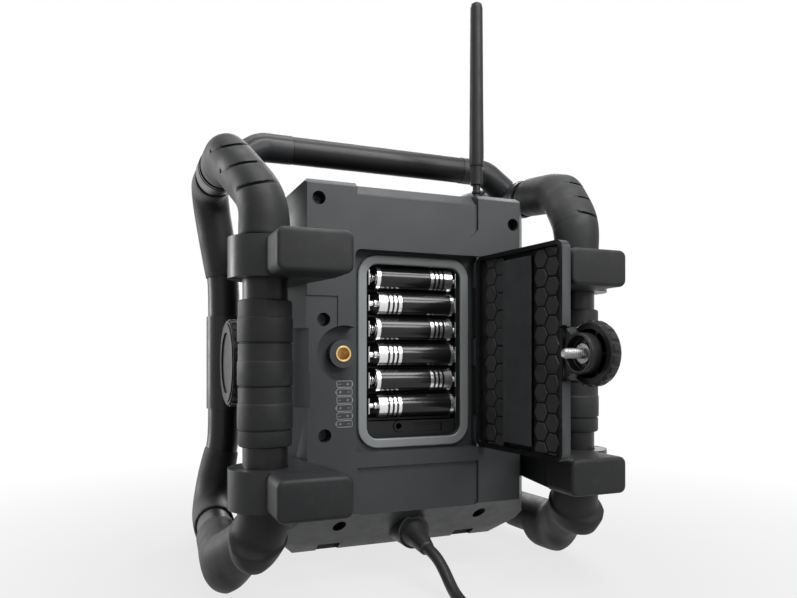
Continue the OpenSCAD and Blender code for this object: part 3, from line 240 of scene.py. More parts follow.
def bevelled(piece, width_mm, angle=38, segments=2):
    bevel = piece.modifiers.new("bevel", "BEVEL")
    bevel.width = width_mm / 1000
    bevel.segments = segments
    bevel.limit_method = "ANGLE"
    bevel.angle_limit = math.radians(angle)
    bevel.use_clamp_overlap = True
    apply(piece, "bevel")
    shade(45)
    even = piece.modifiers.new("even", "WEIGHTED_NORMAL")
    even.keep_sharp = True
    apply(piece, "even")
    return piece


def fill_grooves():
    """Dissolve the hollow rings of the piece being edited, so that its skin runs plain."""
    found = pick("EDGE", lambda e: e.is_manifold and e.calc_face_angle_signed() < HOLLOW)
    bpy.ops.mesh.dissolve_edges(use_verts=True, use_face_split=False)
    print("grooves filled:", found, "edges")


def softened(piece, plain=False):
    """Round a faceted tube or rubber piece; plain fills its grooves first."""
    edit(piece)
    take_all()
    bpy.ops.mesh.tris_convert_to_quads(face_threshold=math.radians(50),
                                       shape_threshold=math.radians(60))
    if plain:
        fill_grooves()
    bpy.ops.mesh.select_all(action="DESELECT")
    bpy.ops.mesh.select_mode(type="EDGE")
    bpy.ops.mesh.edges_select_sharp(sharpness=math.radians(28))
    bpy.ops.transform.edge_crease(value=RIM_CREASE)
    leave()
    smooth = piece.modifiers.new("soft", "SUBSURF")
    smooth.levels = smooth.render_levels = 2
    apply(piece, "soft")
    bpy.ops.object.shade_smooth()
    return piece


def stands_for(piece, slot, body, *nodes, look=None):
    """The finished piece's place in the frame: body, finish slot and the nodes it replaces.
    It gets the slot's own finish, or a look that differs from it."""
    piece.data.materials.clear()
    piece.data.materials.append(look or FINISHES[slot])
    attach(piece, body)
    if nodes:
        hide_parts(*nodes)
    return piece


def tell(piece, node):
    """Print a piece's faces and how far it stands out of its construction solid's box."""
    low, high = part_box(node)
    out = max(max(low[i] - v.co[i], v.co[i] - high[i]) for v in piece.data.vertices
              for i in range(3))
    print("%s: %d faces, %.2f mm out" % (piece.name, len(piece.data.polygons), out * 1000))


# %% [markdown]
# ## Finishes
# Moulded plastic is never one flat colour. The steel of the mould is spark eroded or blasted,
# which leaves a grain of a few tenths of a millimetre, and the colour drifts a little over a
# large wall. One function builds that recipe from Object coordinates, so the grain has its real
# size on every piece, and each finish only states what differs.

# %% The recipe of a finish
DRIFT_MM, DULL_MM, WORN_MM = 38, 9, 6  # size of the patches in colour, gloss and wear
GRAINED_SHINE = 0.27  # a fine grain mirrors less than a polished wall


def made(nodes, kind, **settings):
    """A new shader node with some of its sockets set."""
    node = nodes.new("ShaderNode" + kind)
    for socket, value in settings.items():
        node.inputs[socket].default_value = value
    return node


def ranged(nodes, links, value, *limits):
    """Turn one span of a value into another: from start, from end, to start, to end."""
    spans = dict(zip(("From Min", "From Max", "To Min", "To Max"), limits))
    node = made(nodes, "MapRange", **spans)
    links.new(value, node.inputs["Value"])
    return node.outputs["Result"]


def finish(name, colour, roughness, grain=0.5, depth=0.03, drift=0.12, metallic=0.0,
           coat=0.0, rub=0.0):
    """A procedural finish. grain is the grain's size and depth its height, in millimetres;
    drift is how far the colour strays, and rub how much lighter the worn patches are."""
    look = bpy.data.materials.new(name)
    look.use_nodes = True
    nodes, links = look.node_tree.nodes, look.node_tree.links
    shader = nodes["Principled BSDF"]
    shader.inputs["Metallic"].default_value = metallic
    shader.inputs["Coat Weight"].default_value = coat
    shader.inputs["Coat Roughness"].default_value = 0.12
    shader.inputs["Specular IOR Level"].default_value = GRAINED_SHINE
    place = made(nodes, "TexCoord")

    def noise(size_mm, detail):
        node = made(nodes, "TexNoise", Scale=1000 / size_mm, Detail=detail)
        links.new(place.outputs["Object"], node.inputs["Vector"])
        return node.outputs["Fac"]

    tint = made(nodes, "Mix")
    tint.data_type = "RGBA"
    tint.inputs[6].default_value = (*[c * (1 - drift) for c in colour], 1)
    tint.inputs[7].default_value = (*[c * (1 + drift) for c in colour], 1)
    links.new(ranged(nodes, links, noise(DRIFT_MM, 4), 0.3, 0.7, 0, 1), tint.inputs[0])
    colour_out = tint.outputs[2]
    if rub:
        worn = made(nodes, "Mix")
        worn.data_type = "RGBA"
        worn.inputs[7].default_value = (*[c + rub for c in colour], 1)
        links.new(ranged(nodes, links, noise(WORN_MM, 5), 0.56, 0.78, 0, 1), worn.inputs[0])
        links.new(colour_out, worn.inputs[6])
        colour_out = worn.outputs[2]
    links.new(colour_out, shader.inputs["Base Color"])
    links.new(ranged(nodes, links, noise(DULL_MM, 3), 0.3, 0.7, roughness * 0.88,
                     min(roughness * 1.12, 1)), shader.inputs["Roughness"])
    if depth:
        bump = made(nodes, "Bump", Strength=1, Distance=depth / 1000)
        links.new(noise(grain, 2), bump.inputs["Height"])
        links.new(bump.outputs["Normal"], shader.inputs["Normal"])
    return look


# %% [markdown]
# Each slot of the record gets one finish. A recipe gives its name, colour and roughness, and
# then, where they differ from the usual: size of grain, depth of grain, drift, metal, lacquer
# and rub. The construction solids take them too, so none is left bare.

# %% The finishes by slot
RECIPES = {
    "rear_housing": ("charcoal_moulding", (0.044, 0.0465, 0.049), 0.44, 0.7, 0.05, 0.08),
    "front_housing": ("black_moulding", (0.014, 0.0145, 0.0155), 0.36, 0.7, 0.05),
    "seal_rubber": ("seal_rubber", (0.01, 0.01, 0.01), 0.7, 0.4, 0.02),
    "gasket_rubber": ("grey_silicone", (0.24, 0.252, 0.255), 0.33, 0.5, 0.012, 0.06),
    "black_plastic": ("black_plastic", (0.007, 0.0072, 0.0078), 0.44, 0.5, 0.02),
    "contact_metal": ("nickel_plate", (0.72, 0.71, 0.69), 0.25, 1, 0.005, 0.05, 1),
    "cell_sleeve": ("cell_sleeve", (0.006, 0.006, 0.007), 0.2, 2, 0.01, 0.05, 0, 0.5),
    "brass": ("turned_brass", (0.62, 0.43, 0.17), 0.34, 0.3, 0.01, 0.08, 1),
    "bright_steel": ("bright_steel", (0.27, 0.27, 0.275), 0.4, 0.5, 0.01, 0.06, 1),
    "door_plastic": ("door_moulding", (0.009, 0.0094, 0.01), 0.3, 0.6, 0.03),
    "foam": ("foam", (0.06, 0.062, 0.065), 0.92, 0.5, 0.16, 0.14),
    "antenna_rubber": ("antenna_rubber", (0.008, 0.008, 0.0084), 0.5, 0.5, 0.02),
    "cage_tube": ("powder_coat", (0.009, 0.009, 0.0095), 0.36, 1.1, 0.03),
    "cage_plastic": ("bracket_moulding", (0.021, 0.0218, 0.0232), 0.34, 0.7, 0.03),
    "bumper_rubber": ("bumper_rubber", (0.0125, 0.013, 0.014), 0.56, 0.6, 0.035,
                      0.12, 0, 0, 0.008),
    "grille_metal": ("grille_metal", (0.02, 0.02, 0.02), 0.4, 0.6, 0.02),
    "speaker_metal": ("speaker_metal", (0.1, 0.1, 0.11), 0.5, 0.6, 0.02),
    "speaker_paper": ("speaker_paper", (0.012, 0.012, 0.012), 0.85, 0.6, 0.06),
    "window": ("window", (0.008, 0.01, 0.012), 0.08, 5, 0, 0.05),
    "circuit": ("circuit", (0.02, 0.09, 0.045), 0.4, 1, 0.01),
    "transformer_iron": ("transformer_iron", (0.14, 0.1, 0.06), 0.5, 0.6, 0.03),
    "cord_rubber": ("cord_rubber", (0.03, 0.03, 0.0305), 0.36, 0.5, 0.02),
}
FINISHES = {slot: finish(*recipe) for slot, recipe in RECIPES.items()}
for name, node in frame["nodes"].items():
    node.data.materials.clear()
    node.data.materials.append(FINISHES[slot_of[name]])
OUTSIDE_GREY = finish("door_outside", (0.055, 0.0575, 0.06), 0.4, 0.6, 0.02)
BLACKED_STEEL = finish("blacked_steel", (0.03, 0.03, 0.031), 0.42, 0.4, 0.01, 0.08, 1)
COMB_GREY = finish("comb_pad", (0.048, 0.049, 0.051), 0.55, 0.6, 0.03, 0.35)
PRINT_GREY = finish("print_grey", (0.3, 0.31, 0.31), 0.55, 0.4, 0.01)
BAR_GREY = finish("bar_grey", (0.35, 0.38, 0.36), 0.5, 0.4, 0.0)
print("finishes:", len(FINISHES) + 5)

# %% [markdown]
# ## The power lead
# A mains lead is one length of flexible cable. It leaves the gland, falls to the ground under
# its own weight, and what isn't needed is wound into a storage coil: some three turns on the
# ground and nearly three more that rest in and over the grooves between them. The coil is a
# rule, so a function works out each turn's radius, and its height follows from what lies below.

# %% The lead's measures
REAR_Y = 0.031323  # the rear wall
CORD_D = 0.0066
LANE = 0.00665
# Points of the lead's two free parts, in millimetres: x, distance behind the rear wall, z.
LEAD_OUT = [(0, 10.5, 22), (-0.7, 14.5, 20.8), (-1.5, 18.5, 19), (-2.1, 23, 16.3),
            (-2.3, 28, 13.1), (-2.1, 33, 10), (-1.8, 38, 7.2), (-1.6, 43, 5.2),
            (-1.5, 48, 3.9), (-1.4, 54, 3.35), (-1.3, 64, 3.35), (-1.2, 75, 3.35),
            (-1.2, 86, 3.35), (-1.2, 96, 3.35), (-1, 106, 3.35), (-0.6, 116, 3.35),
            (-0.2, 125, 3.35)]
LEAD_END = [(57, 177.9, 9.6), (67, 178.1, 10.6), (78, 178.2, 12), (89, 178.2, 13.1),
            (98, 178.2, 13.5)]
COIL_CENTRE = (0.047, REAR_Y + 0.134)
OUTER_TURN = 0.0469
LOWER_TURNS = 4
LANE_CHANGE = (0.62, 0.3)  # where in a turn the cord starts to move in one lane, and how long
CROSSING = (0.12, 0.3)  # the same for an upper turn that climbs over to the next groove
HOP = (3.3, 3.5)  # turns between which the cord climbs to the upper layer
LAST_TURN = 6.25
STEPS_PER_TURN = 40


def from_rear(point):
    """A point given behind the rear face, in millimetres, as a place in the frame."""
    return Vector((point[0] / 1000, REAR_Y + point[1] / 1000, point[2] / 1000))


def smooth(t):
    t = min(max(t, 0.0), 1.0)
    return t * t * (3 - 2 * t)


def lower_radius(turn, phase):
    return OUTER_TURN - LANE * (turn + smooth((phase - LANE_CHANGE[0]) / LANE_CHANGE[1]))


def resting_height(radius, phase):
    """Height of an upper turn that rests on the lower turns at that radius. The fourth lane
    is only begun, because the cord hops up from it."""
    height = 0
    for turn in range(LOWER_TURNS):
        across = abs(radius - lower_radius(turn, min(phase, 0.3) if turn == 3 else phase))
        if across < CORD_D:
            height = max(height, math.sqrt(CORD_D ** 2 - across ** 2))
    return CORD_D / 2 + height


def coil_point(turns):
    """Point of the coil after so many turns, clockwise from its leftmost point."""
    phase = turns % 1
    start, end = HOP
    if turns < start:
        radius, height = lower_radius(int(turns), phase), CORD_D / 2
    elif turns < end:
        climb = math.radians(180 - 60 * smooth((turns - start) / (end - start)))
        radius = lower_radius(2, 0) + LANE * math.cos(climb)
        height = CORD_D / 2 + CORD_D * math.sin(climb)
    else:
        crossed = sum(smooth((turns - turn - CROSSING[0]) / CROSSING[1]) for turn in (4, 5))
        radius = lower_radius(3, 0) + LANE / 2 + LANE * crossed
        height = resting_height(radius, phase)
    angle = math.pi - 2 * math.pi * turns
    return Vector((COIL_CENTRE[0] + radius * math.cos(angle),
                   COIL_CENTRE[1] + radius * math.sin(angle), height + 0.00005))


# %% [markdown]
# The points are joined by a smooth line, and a curve with a round section follows it. The
# plug on the end is a moulding like the others, so it only gets its edges rounded.

# %% The lead as one curve


def through(points, per_span):
    """Points of a smooth line through the given points (a Catmull-Rom spline)."""
    line = []
    for k in range(len(points) - 1):
        before, a, b = points[max(k - 1, 0)], points[k], points[k + 1]
        after = points[min(k + 2, len(points) - 1)]
        for j in range(per_span):
            t = j / per_span
            line.append(0.5 * (2 * a + (b - before) * t
                               + (2 * before - 5 * a + 4 * b - after) * t ** 2
                               + (3 * a - before - 3 * b + after) * t ** 3))
    return line + [points[-1]]


def wire(name, points, radius, cyclic=False):
    """A round wire or cable along a line of points, as a curve with a round section."""
    curve = bpy.data.curves.new(name, "CURVE")
    curve.dimensions = "3D"
    curve.bevel_depth = radius
    curve.bevel_resolution = 5
    curve.use_fill_caps = True
    spline = curve.splines.new("POLY")
    spline.points.add(len(points) - 1)
    for target, point in zip(spline.points, points):
        target.co = (*point, 1)
    spline.use_cyclic_u = cyclic
    spline.use_smooth = True
    piece = bpy.data.objects.new(name, curve)
    bpy.context.collection.objects.link(piece)
    return piece


steps = int(LAST_TURN * STEPS_PER_TURN)
lead_points = [from_rear(p) for p in LEAD_OUT]
lead_points += [coil_point(LAST_TURN * k / steps) for k in range(steps + 1)]
lead_points += [from_rear(p) for p in LEAD_END]
line = through(lead_points, 2)
lead = wire("mains_lead", line, CORD_D / 2)
stands_for(lead, "cord_rubber", "housing", "power_cord", "cord_coil", "cord_tail")
plug = bevelled(stitched("mains_plug"), 1.0, 30, 3)
stands_for(plug, "cord_rubber", "housing", "mains_plug")
tell(plug, "mains_plug")

# %% [markdown]
# ## Light and floor
# Black plastic shows its shape by what it mirrors, so the lamps are large soft boxes: a tall
# strip at the left for the long lights on the tubes, a small one close above the battery
# compartment, a broad one behind the camera for the flat rear wall, one overhead and one at
# the front.

# %% Lamps


def soft_box(name, place, target, size, power):
    lamp = bpy.data.lights.new(name, "AREA")
    lamp.shape = "RECTANGLE"
    lamp.size, lamp.size_y = size
    lamp.energy = power
    holder = bpy.data.objects.new(name, lamp)
    bpy.context.collection.objects.link(holder)
    holder.location = place
    holder.rotation_euler = (Vector(target) - Vector(place)).to_track_quat("-Z", "Y").to_euler()
    return holder


MIDDLE = (0, 0, 0.13)
soft_box("left_strip", (1.05, -0.78, 0.34), MIDDLE, (0.36, 0.9), 13)
soft_box("key_box", (-0.06, 0.36, 0.66), (0, 0.02, 0.2), (0.5, 0.24), 3.9)
soft_box("rear_box", (-0.45, 1.15, 0.75), (0, 0, 0.2), (0.6, 0.4), 7)
soft_box("top_box", (0.0, -0.1, 1.1), MIDDLE, (0.7, 0.4), 3.5)
soft_box("front_box", (-0.55, -1.2, 0.75), MIDDLE, (0.9, 0.9), 13)

# %% [markdown]
# The air and the far floor are white to the eye, and in what metal and glass mirror or let
# through. All other rays find hardly any light there, so the lamps alone shape the radio.

# %% The air round the object


def seen_rays(nodes, links):
    """1 for rays that carry a picture to the eye, to metal or to glass, and 0 for light."""
    path = made(nodes, "LightPath")
    seen = path.outputs["Is Camera Ray"]
    for ray in ("Is Glossy Ray", "Is Transmission Ray"):
        either = made(nodes, "Math")
        either.operation = "MAXIMUM"
        links.new(seen, either.inputs[0])
        links.new(path.outputs[ray], either.inputs[1])
        seen = either.outputs[0]
    return seen


WHITE = (1, 1, 1, 1)
AIR_LIGHT = 0.035
world = bpy.data.worlds.new("studio")
bpy.context.scene.world = world
world.use_nodes = True
nodes, links = world.node_tree.nodes, world.node_tree.links
nodes.clear()
out = made(nodes, "OutputWorld")
mix = made(nodes, "MixShader")
links.new(seen_rays(nodes, links), mix.inputs[0])
for socket, strength in ((1, AIR_LIGHT), (2, 1)):
    air = made(nodes, "Background", Color=WHITE, Strength=strength)
    links.new(air.outputs[0], mix.inputs[socket])
links.new(mix.outputs[0], out.inputs["Surface"])
bpy.context.scene.view_settings.view_transform = "Standard"
print("air set")

# %% [markdown]
# The floor is a large matt sheet. Near the radio it takes the shadows, and with distance it
# turns to pure white, so no horizon shows. How white a spot is depends on its own distance
# from the middle and not on where the camera stands.

# %% Floor
NEAR, FAR, NEAR_WHITE = 0.16, 0.5, 0.76
bpy.ops.mesh.primitive_plane_add(size=12, location=(0, 0, 0))
floor = bpy.context.object
floor.name = "floor"
floor_look = bpy.data.materials.new("pale_floor")
floor_look.use_nodes = True
nodes, links = floor_look.node_tree.nodes, floor_look.node_tree.links
nodes.clear()
out = made(nodes, "OutputMaterial")
matt = made(nodes, "BsdfDiffuse", Color=(0.3, 0.3, 0.3, 1))
white = made(nodes, "Emission", Color=WHITE)
place = made(nodes, "TexCoord")
reach = made(nodes, "VectorMath")
reach.operation = "LENGTH"
share = made(nodes, "Math")
share.operation = "MULTIPLY"
mix = made(nodes, "MixShader")
links.new(place.outputs["Object"], reach.inputs[0])
fade = ranged(nodes, links, reach.outputs["Value"], NEAR, FAR, NEAR_WHITE, 1)
links.new(seen_rays(nodes, links), share.inputs[0])
links.new(fade, share.inputs[1])
links.new(share.outputs[0], mix.inputs[0])
links.new(matt.outputs[0], mix.inputs[1])
links.new(white.outputs[0], mix.inputs[2])
links.new(mix.outputs[0], out.inputs["Surface"])
floor.data.materials.append(floor_look)
bpy.ops.object.select_all(action="DESELECT")
print("floor laid")

# %% [markdown]
# ## Cutters for the battery door
# The door's rim is open where the knob sits, and its field is sunk so that the rim stands
# round it as a frame. Cutters are easiest to place with the door shut and square to the wall,
# so each is made there, and one matrix then swings it open with the door.

# %% Cutters for the battery door
HINGE = Vector((-0.041, REAR_Y - 0.004, 0))
OPEN_DEG = 95
DOOR_SWING = (Matrix.Translation(HINGE) @ Matrix.Rotation(math.radians(OPEN_DEG), 4, "Z")
              @ Matrix.Translation(-HINGE))
KNOB_X, KNOB_Z = 0.0466, 0.1338
RIM_ROUND, RIM_FROM_X = 0.0157, 0.0369  # the opening's radius, and where it begins
PLATEAU_R = 0.0163  # a low round that is cleared away under the knob
OUT, IN = -0.006, 0.009  # depths beyond the door's outside and inside
FIELD_FLOOR, FIELD_WIDE, FIELD_MIDDLE_X, FIELD_CORNER = 0.004, 0.0737, 0.00025, 0.0026
FRAME_END = 0.0024  # the frame's width above and below the field
door_low, door_high = (corner.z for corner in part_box("battery_door"))


def swung(piece):
    piece.data.transform(DOOR_SWING)
    return piece


def knob_round(name, radius, near, far, sides=96):
    """A round block on the knob's axis, between two depths of the closed door."""
    return rod(name, radius, far - near, (KNOB_X, REAR_Y - (near + far) / 2, KNOB_Z), sides)


def cut_out(piece, tool):
    """Take the tool's volume out of the piece and throw the tool away."""
    cut = piece.modifiers.new("cut", "BOOLEAN")
    cut.operation = "DIFFERENCE"
    cut.solver = "EXACT"
    cut.object = tool
    apply(piece, "cut")
    bpy.data.objects.remove(tool)


def rim_opening():
    tool = knob_round("rim_opening", RIM_ROUND, OUT, IN)
    edit(tool)
    take_all()
    bpy.ops.mesh.bisect(plane_co=(RIM_FROM_X, 0, 0), plane_no=(1, 0, 0), use_fill=True,
                        clear_inner=True)
    leave()
    return swung(tool)


def field_hollow():
    low, high = door_low + FRAME_END, door_high - FRAME_END
    tool = block("field_hollow", (FIELD_WIDE, IN - FIELD_FLOOR, high - low),
                 (FIELD_MIDDLE_X, REAR_Y - (FIELD_FLOOR + IN) / 2, (low + high) / 2))
    edit(tool)
    pick("EDGE", run_along(1))
    bpy.ops.mesh.bevel(offset=FIELD_CORNER, segments=6, affect="EDGES")
    leave()
    return swung(tool)


# %% [markdown]
# ## Mouldings that need their edges rounded
# Shells, brackets, dials and keys come out of steel moulds. Their construction solids are
# right in their faces, so each gets the rounding a toolmaker would cut: most on the heavy
# brackets, least on small fittings. The table gives each piece's rounding in millimetres.

# %% Shells, brackets and controls
EDGE_MM = {
    "rear_shell": 0.5, "front_shell": 0.8, "door_knob": 0.35,
    "rear_clamp_top_left": 2.6, "rear_clamp_top_right": 2.6,
    "rear_clamp_low_left": 2.6, "rear_clamp_low_right": 2.6,
    "front_clamp_left": 0.8, "front_clamp_right": 0.8,
    "side_dial_left": 0.5, "side_dial_right": 0.5, "compartment_gasket": 1.5,
    "battery_tray": 0.3, "cord_gland": 0.4, "aux_jack": 0.25, "handle_bar": 0.3,
    "battery_door": 0.45, "brass_insert": 0.25, "antenna_base": 0.15, "antenna_whip": 0.5,
    "button_power": 0.5, "button_band": 0.5, "button_down": 0.5, "button_up": 0.5,
    "shell_seal": 0.15, "display_window": 0.3, "shell_screws": 0.2, "clamp_screws": 0.2,
    "hinge_pin": 0.3, "speaker_basket": 0.4,
}
BLACKED = {"shell_screws": BLACKED_STEEL, "antenna_base": BLACKED_STEEL}
for name, width in EDGE_MM.items():
    piece = stitched(name)
    if name == "battery_door":
        cut_out(piece, rim_opening())
        cut_out(piece, swung(knob_round("plateau", PLATEAU_R, FIELD_FLOOR, IN)))
        cut_out(piece, field_hollow())
        door = piece
    bevelled(piece, width)
    stands_for(piece, slot_of[name], body_of[name], name, look=BLACKED.get(name))
    tell(piece, name)

# %% [markdown]
# The outside of the door and its edges are moulded in the grey of the rear shell, while the
# inside is a black insert. With the door shut in thought, the outer faces are those beyond the
# field's free edge, at the outside, or at the very top and bottom.

# %% Grey outside of the door
FREE_EDGE_X, OUTSIDE_DEPTH, END_STRIP = 0.0390, 0.0019, 0.0006
door.data.materials.append(OUTSIDE_GREY)
shut = DOOR_SWING.inverted()
outer_faces = 0
for face in door.data.polygons:
    centre = shut @ face.center
    if (centre.x > FREE_EDGE_X or centre.y > REAR_Y - OUTSIDE_DEPTH
            or not door_low + END_STRIP < centre.z < door_high - END_STRIP):
        face.material_index = 1
        outer_faces += 1
print("grey faces:", outer_faces)

# %% [markdown]
# The knob's spindle turns in a bearing barrel that hangs on an arm outside the rim. The arm's
# outline is a tapering tab that ends in the barrel's round; it is pulled to its thickness, then
# the pocket and the spindle's hole are cut out of it and its edges rounded.

# %% Bearing arm of the knob
# Depths are counted from the rear wall of the closed door inwards, so the outside is negative.
BARREL_R, POCKET_R, SPINDLE_R = 0.0106, 0.0087, 0.0042
BARREL_IN, BARREL_OUT, POCKET_FLOOR = 0.0034, -0.0038, -0.0018
ARM_X, SHOULDER_X, NECK_X = 0.0364, 0.0386, 0.0398
ARM_HALF, NECK_HALF = 0.0139, 0.0118
ROUND_DEG, ROUND_STEPS = 112, 24
outline = [(ARM_X, -ARM_HALF), (SHOULDER_X, -ARM_HALF), (NECK_X, -NECK_HALF)]
for k in range(ROUND_STEPS + 1):
    turn = math.radians(ROUND_DEG * (2 * k / ROUND_STEPS - 1))
    outline.append((KNOB_X + BARREL_R * math.cos(turn), BARREL_R * math.sin(turn)))
outline += [(NECK_X, NECK_HALF), (SHOULDER_X, ARM_HALF), (ARM_X, ARM_HALF)]
arm = drawn("knob_bearing", [(x, REAR_Y - BARREL_OUT, KNOB_Z + z) for x, z in outline],
            faces=[range(len(outline))])
thickened(arm, (0, BARREL_OUT - BARREL_IN, 0))
cut_out(arm, knob_round("pocket", POCKET_R, POCKET_FLOOR, IN))
cut_out(arm, knob_round("spindle_hole", SPINDLE_R, OUT, 0.004, 48))
bevelled(arm, 0.7, 40, 3)
stands_for(swung(arm), "door_plastic", "battery_door")
print("bearing:", len(arm.data.polygons), "faces")

# %% [markdown]
# Either side of the foam strip the door's field is a comb of flat hexagons parted by narrow
# grooves. The hexagons are laid out as bare faces, pulled up, rounded, and trimmed to the
# field's edges; each band has a dark bed that shows in the grooves.

# %% Comb bands
COMB_PITCH, COMB_FLATS, COMB_MIDDLE = 0.0103, 0.0094, 0.13325
COMB_CORNER = COMB_FLATS / math.sqrt(3)
BED, PAD_TOP, PAD_ROOT = 0.0051, 0.0057, 0.0004  # depths; the pads are rooted in their bed
BED_THICK = 0.0014
FIELD_EDGE = 0.0027
FIELD_LOW, FIELD_TOP = door_low + FIELD_EDGE, door_high - FIELD_EDGE
# Name, edges in x, and each column's x with its shift in rows.
COMBS = (
    ("comb_left", -0.0364, -0.0125, ((-0.0252, 0.5), (-0.0159, 0.0))),
    ("comb_right", 0.0148, 0.0368, ((0.0207, 0.0), (0.03, 0.5))),
)


def hexagons(columns):
    """Corner points and faces of the hexagons of a band."""
    points, faces = [], []
    for x, shift in columns:
        for row in range(-6, 7):
            z = COMB_MIDDLE + (row + shift) * COMB_PITCH
            faces.append(range(len(points), len(points) + 6))
            for k in range(6):
                turn = math.radians(60 * k)
                points.append((x + COMB_CORNER * math.cos(turn), REAR_Y - BED + PAD_ROOT,
                               z + COMB_CORNER * math.sin(turn)))
    return points, faces


def trimmed(piece, low, high):
    """Cut the piece off at the band's edges and close the cuts."""
    edit(piece)
    for place, normal in (((low, 0, 0), (-1, 0, 0)), ((high, 0, 0), (1, 0, 0)),
                          ((0, 0, FIELD_LOW), (0, 0, -1)), ((0, 0, FIELD_TOP), (0, 0, 1))):
        take_all()
        bpy.ops.mesh.bisect(plane_co=place, plane_no=normal, use_fill=True, clear_outer=True)
    leave()


for name, low, high, columns in COMBS:
    points, faces = hexagons(columns)
    comb = thickened(drawn(name, points, faces=faces), (0, BED - PAD_TOP - PAD_ROOT, 0))
    bevelled(comb, 0.35, 40, 2)
    trimmed(comb, low, high)
    stands_for(swung(comb), "door_plastic", "battery_door", look=COMB_GREY)
    bed = block(name + "_bed", (high - low, BED_THICK, FIELD_TOP - FIELD_LOW),
                ((low + high) / 2, REAR_Y - BED + BED_THICK / 2, (FIELD_LOW + FIELD_TOP) / 2))
    bevelled(bed, 0.15, 40, 2)
    stands_for(swung(bed), "door_plastic", "battery_door")
    print(name, len(comb.data.polygons), "faces")

# %% [markdown]
# ## Grips
# Each rear upright carries a rubber grip with three raised bands. It is round, so its section
# is drawn once as a line of points and spun about the upright's axis.

# %% Ribbed grips
GRIP_R, GRIP_BORE = 0.0136, 0.0118
GRIP_LOW, GRIP_TOP = 0.0868, 0.1608
BANDS = ((0.0957, 0.1088), (0.1174, 0.1302), (0.1393, 0.1521))
UPRIGHT_X, UPRIGHT_Y = 0.0956, REAR_Y + 0.020


def grip_section():
    """The section as (radius, height): up the outside, with a groove below each band."""
    line = [(GRIP_BORE, GRIP_LOW), (GRIP_R - 0.0012, GRIP_LOW),
            (GRIP_R - 0.0004, GRIP_LOW + 0.0004), (GRIP_R, GRIP_LOW + 0.0013)]
    for low, high in BANDS:
        line += [(GRIP_R, low - 0.0007), (GRIP_R - 0.0007, low - 0.0004),
                 (GRIP_R - 0.0007, low), (GRIP_R + 0.0002, low + 0.0003),
                 (GRIP_R + 0.0004, low + 0.0011), (GRIP_R + 0.0004, high - 0.0011),
                 (GRIP_R + 0.0002, high - 0.0002), (GRIP_R, high)]
    return line + [(GRIP_R, GRIP_TOP - 0.0013), (GRIP_R - 0.0004, GRIP_TOP - 0.0004),
                   (GRIP_R - 0.0012, GRIP_TOP), (GRIP_BORE, GRIP_TOP)]


section = grip_section()
for side, name in ((1, "rear_sleeve_left"), (-1, "rear_sleeve_right")):
    axis = Vector((side * UPRIGHT_X, UPRIGHT_Y, 0))
    grip = drawn("grip_" + name, [(axis.x + r, axis.y, z) for r, z in section],
                 edges=[(k, (k + 1) % len(section)) for k in range(len(section))])
    edit(grip)
    take_all()
    bpy.ops.mesh.spin(steps=72, angle=2 * math.pi, center=axis, axis=(0, 0, 1))
    take_all()
    bpy.ops.mesh.remove_doubles(threshold=WELD)
    face_outward()
    leave()
    shade(35)
    stands_for(grip, "bumper_rubber", "housing", name)
    tell(grip, name)

# %% [markdown]
# ## Small pieces of the rear wall
# The label panel runs out over the top edge of the rear wall on a short ramp. The ramp is a
# slat of the same plastic set into the wall: a block, rounded and tilted into place. The brass
# insert for the door's screw is blind, and its floor catches the light: a disc whose face is
# inset and pushed in.

# %% Label ramp and floor of the insert
RAMP_SIZE, RAMP_PLACE = (0.0776, 0.0095, 0.0016), (0, REAR_Y - 0.0062, 0.22765)
RAMP_RISE, RAMP_RUN = 8, 9.4
INSERT_DEPTH, INSERT_R, DISH_RIM, DISH_DEEP = 0.0143, 0.0045, 0.0012, 0.0008
ramp = bevelled(block("label_ramp", RAMP_SIZE), 0.15)
ramp.data.transform(Matrix.Translation(RAMP_PLACE)
                    @ Matrix.Rotation(-math.atan2(RAMP_RISE, RAMP_RUN), 4, "X"))
stands_for(ramp, "rear_housing", "housing")
dish = rod("insert_floor", INSERT_R, 0.002, (KNOB_X, REAR_Y - INSERT_DEPTH, KNOB_Z), 32)
edit(dish)
pick("FACE", lambda f: f.normal.y > 0.9)
bpy.ops.mesh.inset(thickness=DISH_RIM)
bpy.ops.transform.translate(value=(0, -DISH_DEEP, 0))
leave()
bevelled(dish, 0.15)
stands_for(dish, "brass", "housing")
print("ramp and insert floor set")

# %% [markdown]
# ## Slits of the upper bumpers
# Three slits across the thick side of each upper bumper let its rubber bend. A moulder leaves
# them with thin curved blades, and so does this cell. A blade is an arc through the slit's two
# ends and a point below the skin midway, so it skims the skin at the ends and bites deepest in
# between.

# %% Blades for the slits
# Each slit by one end, its middle and its other end on the rubber's skin, left side.
SLITS = (
    ((0.11887, 0.02789, 0.24087), (0.11155, 0.03748, 0.24166), (0.10141, 0.03258, 0.24477)),
    ((0.11523, 0.03832, 0.22810), (0.10811, 0.05037, 0.22936), (0.09725, 0.04895, 0.23166)),
    ((0.11032, 0.05173, 0.21552), (0.10249, 0.06031, 0.21753), (0.09127, 0.05682, 0.22018)),
)
SLIT_DEPTH, SLIT_WIDTH = 0.0019, 0.0015
BLADE_RISE, BLADE_STEPS, BLADE_REACH = 0.003, 24, 0.1  # reach past each end, of its sweep


def circle_of(a, m, b):
    """Centre of the circle through three points, and its plane's normal."""
    ab, am = b - a, m - a
    normal = am.cross(ab)
    centre = a + (ab.length_squared * normal.cross(am) + am.length_squared * ab.cross(normal)) / (
        2 * normal.length_squared)
    return centre, normal.normalized()


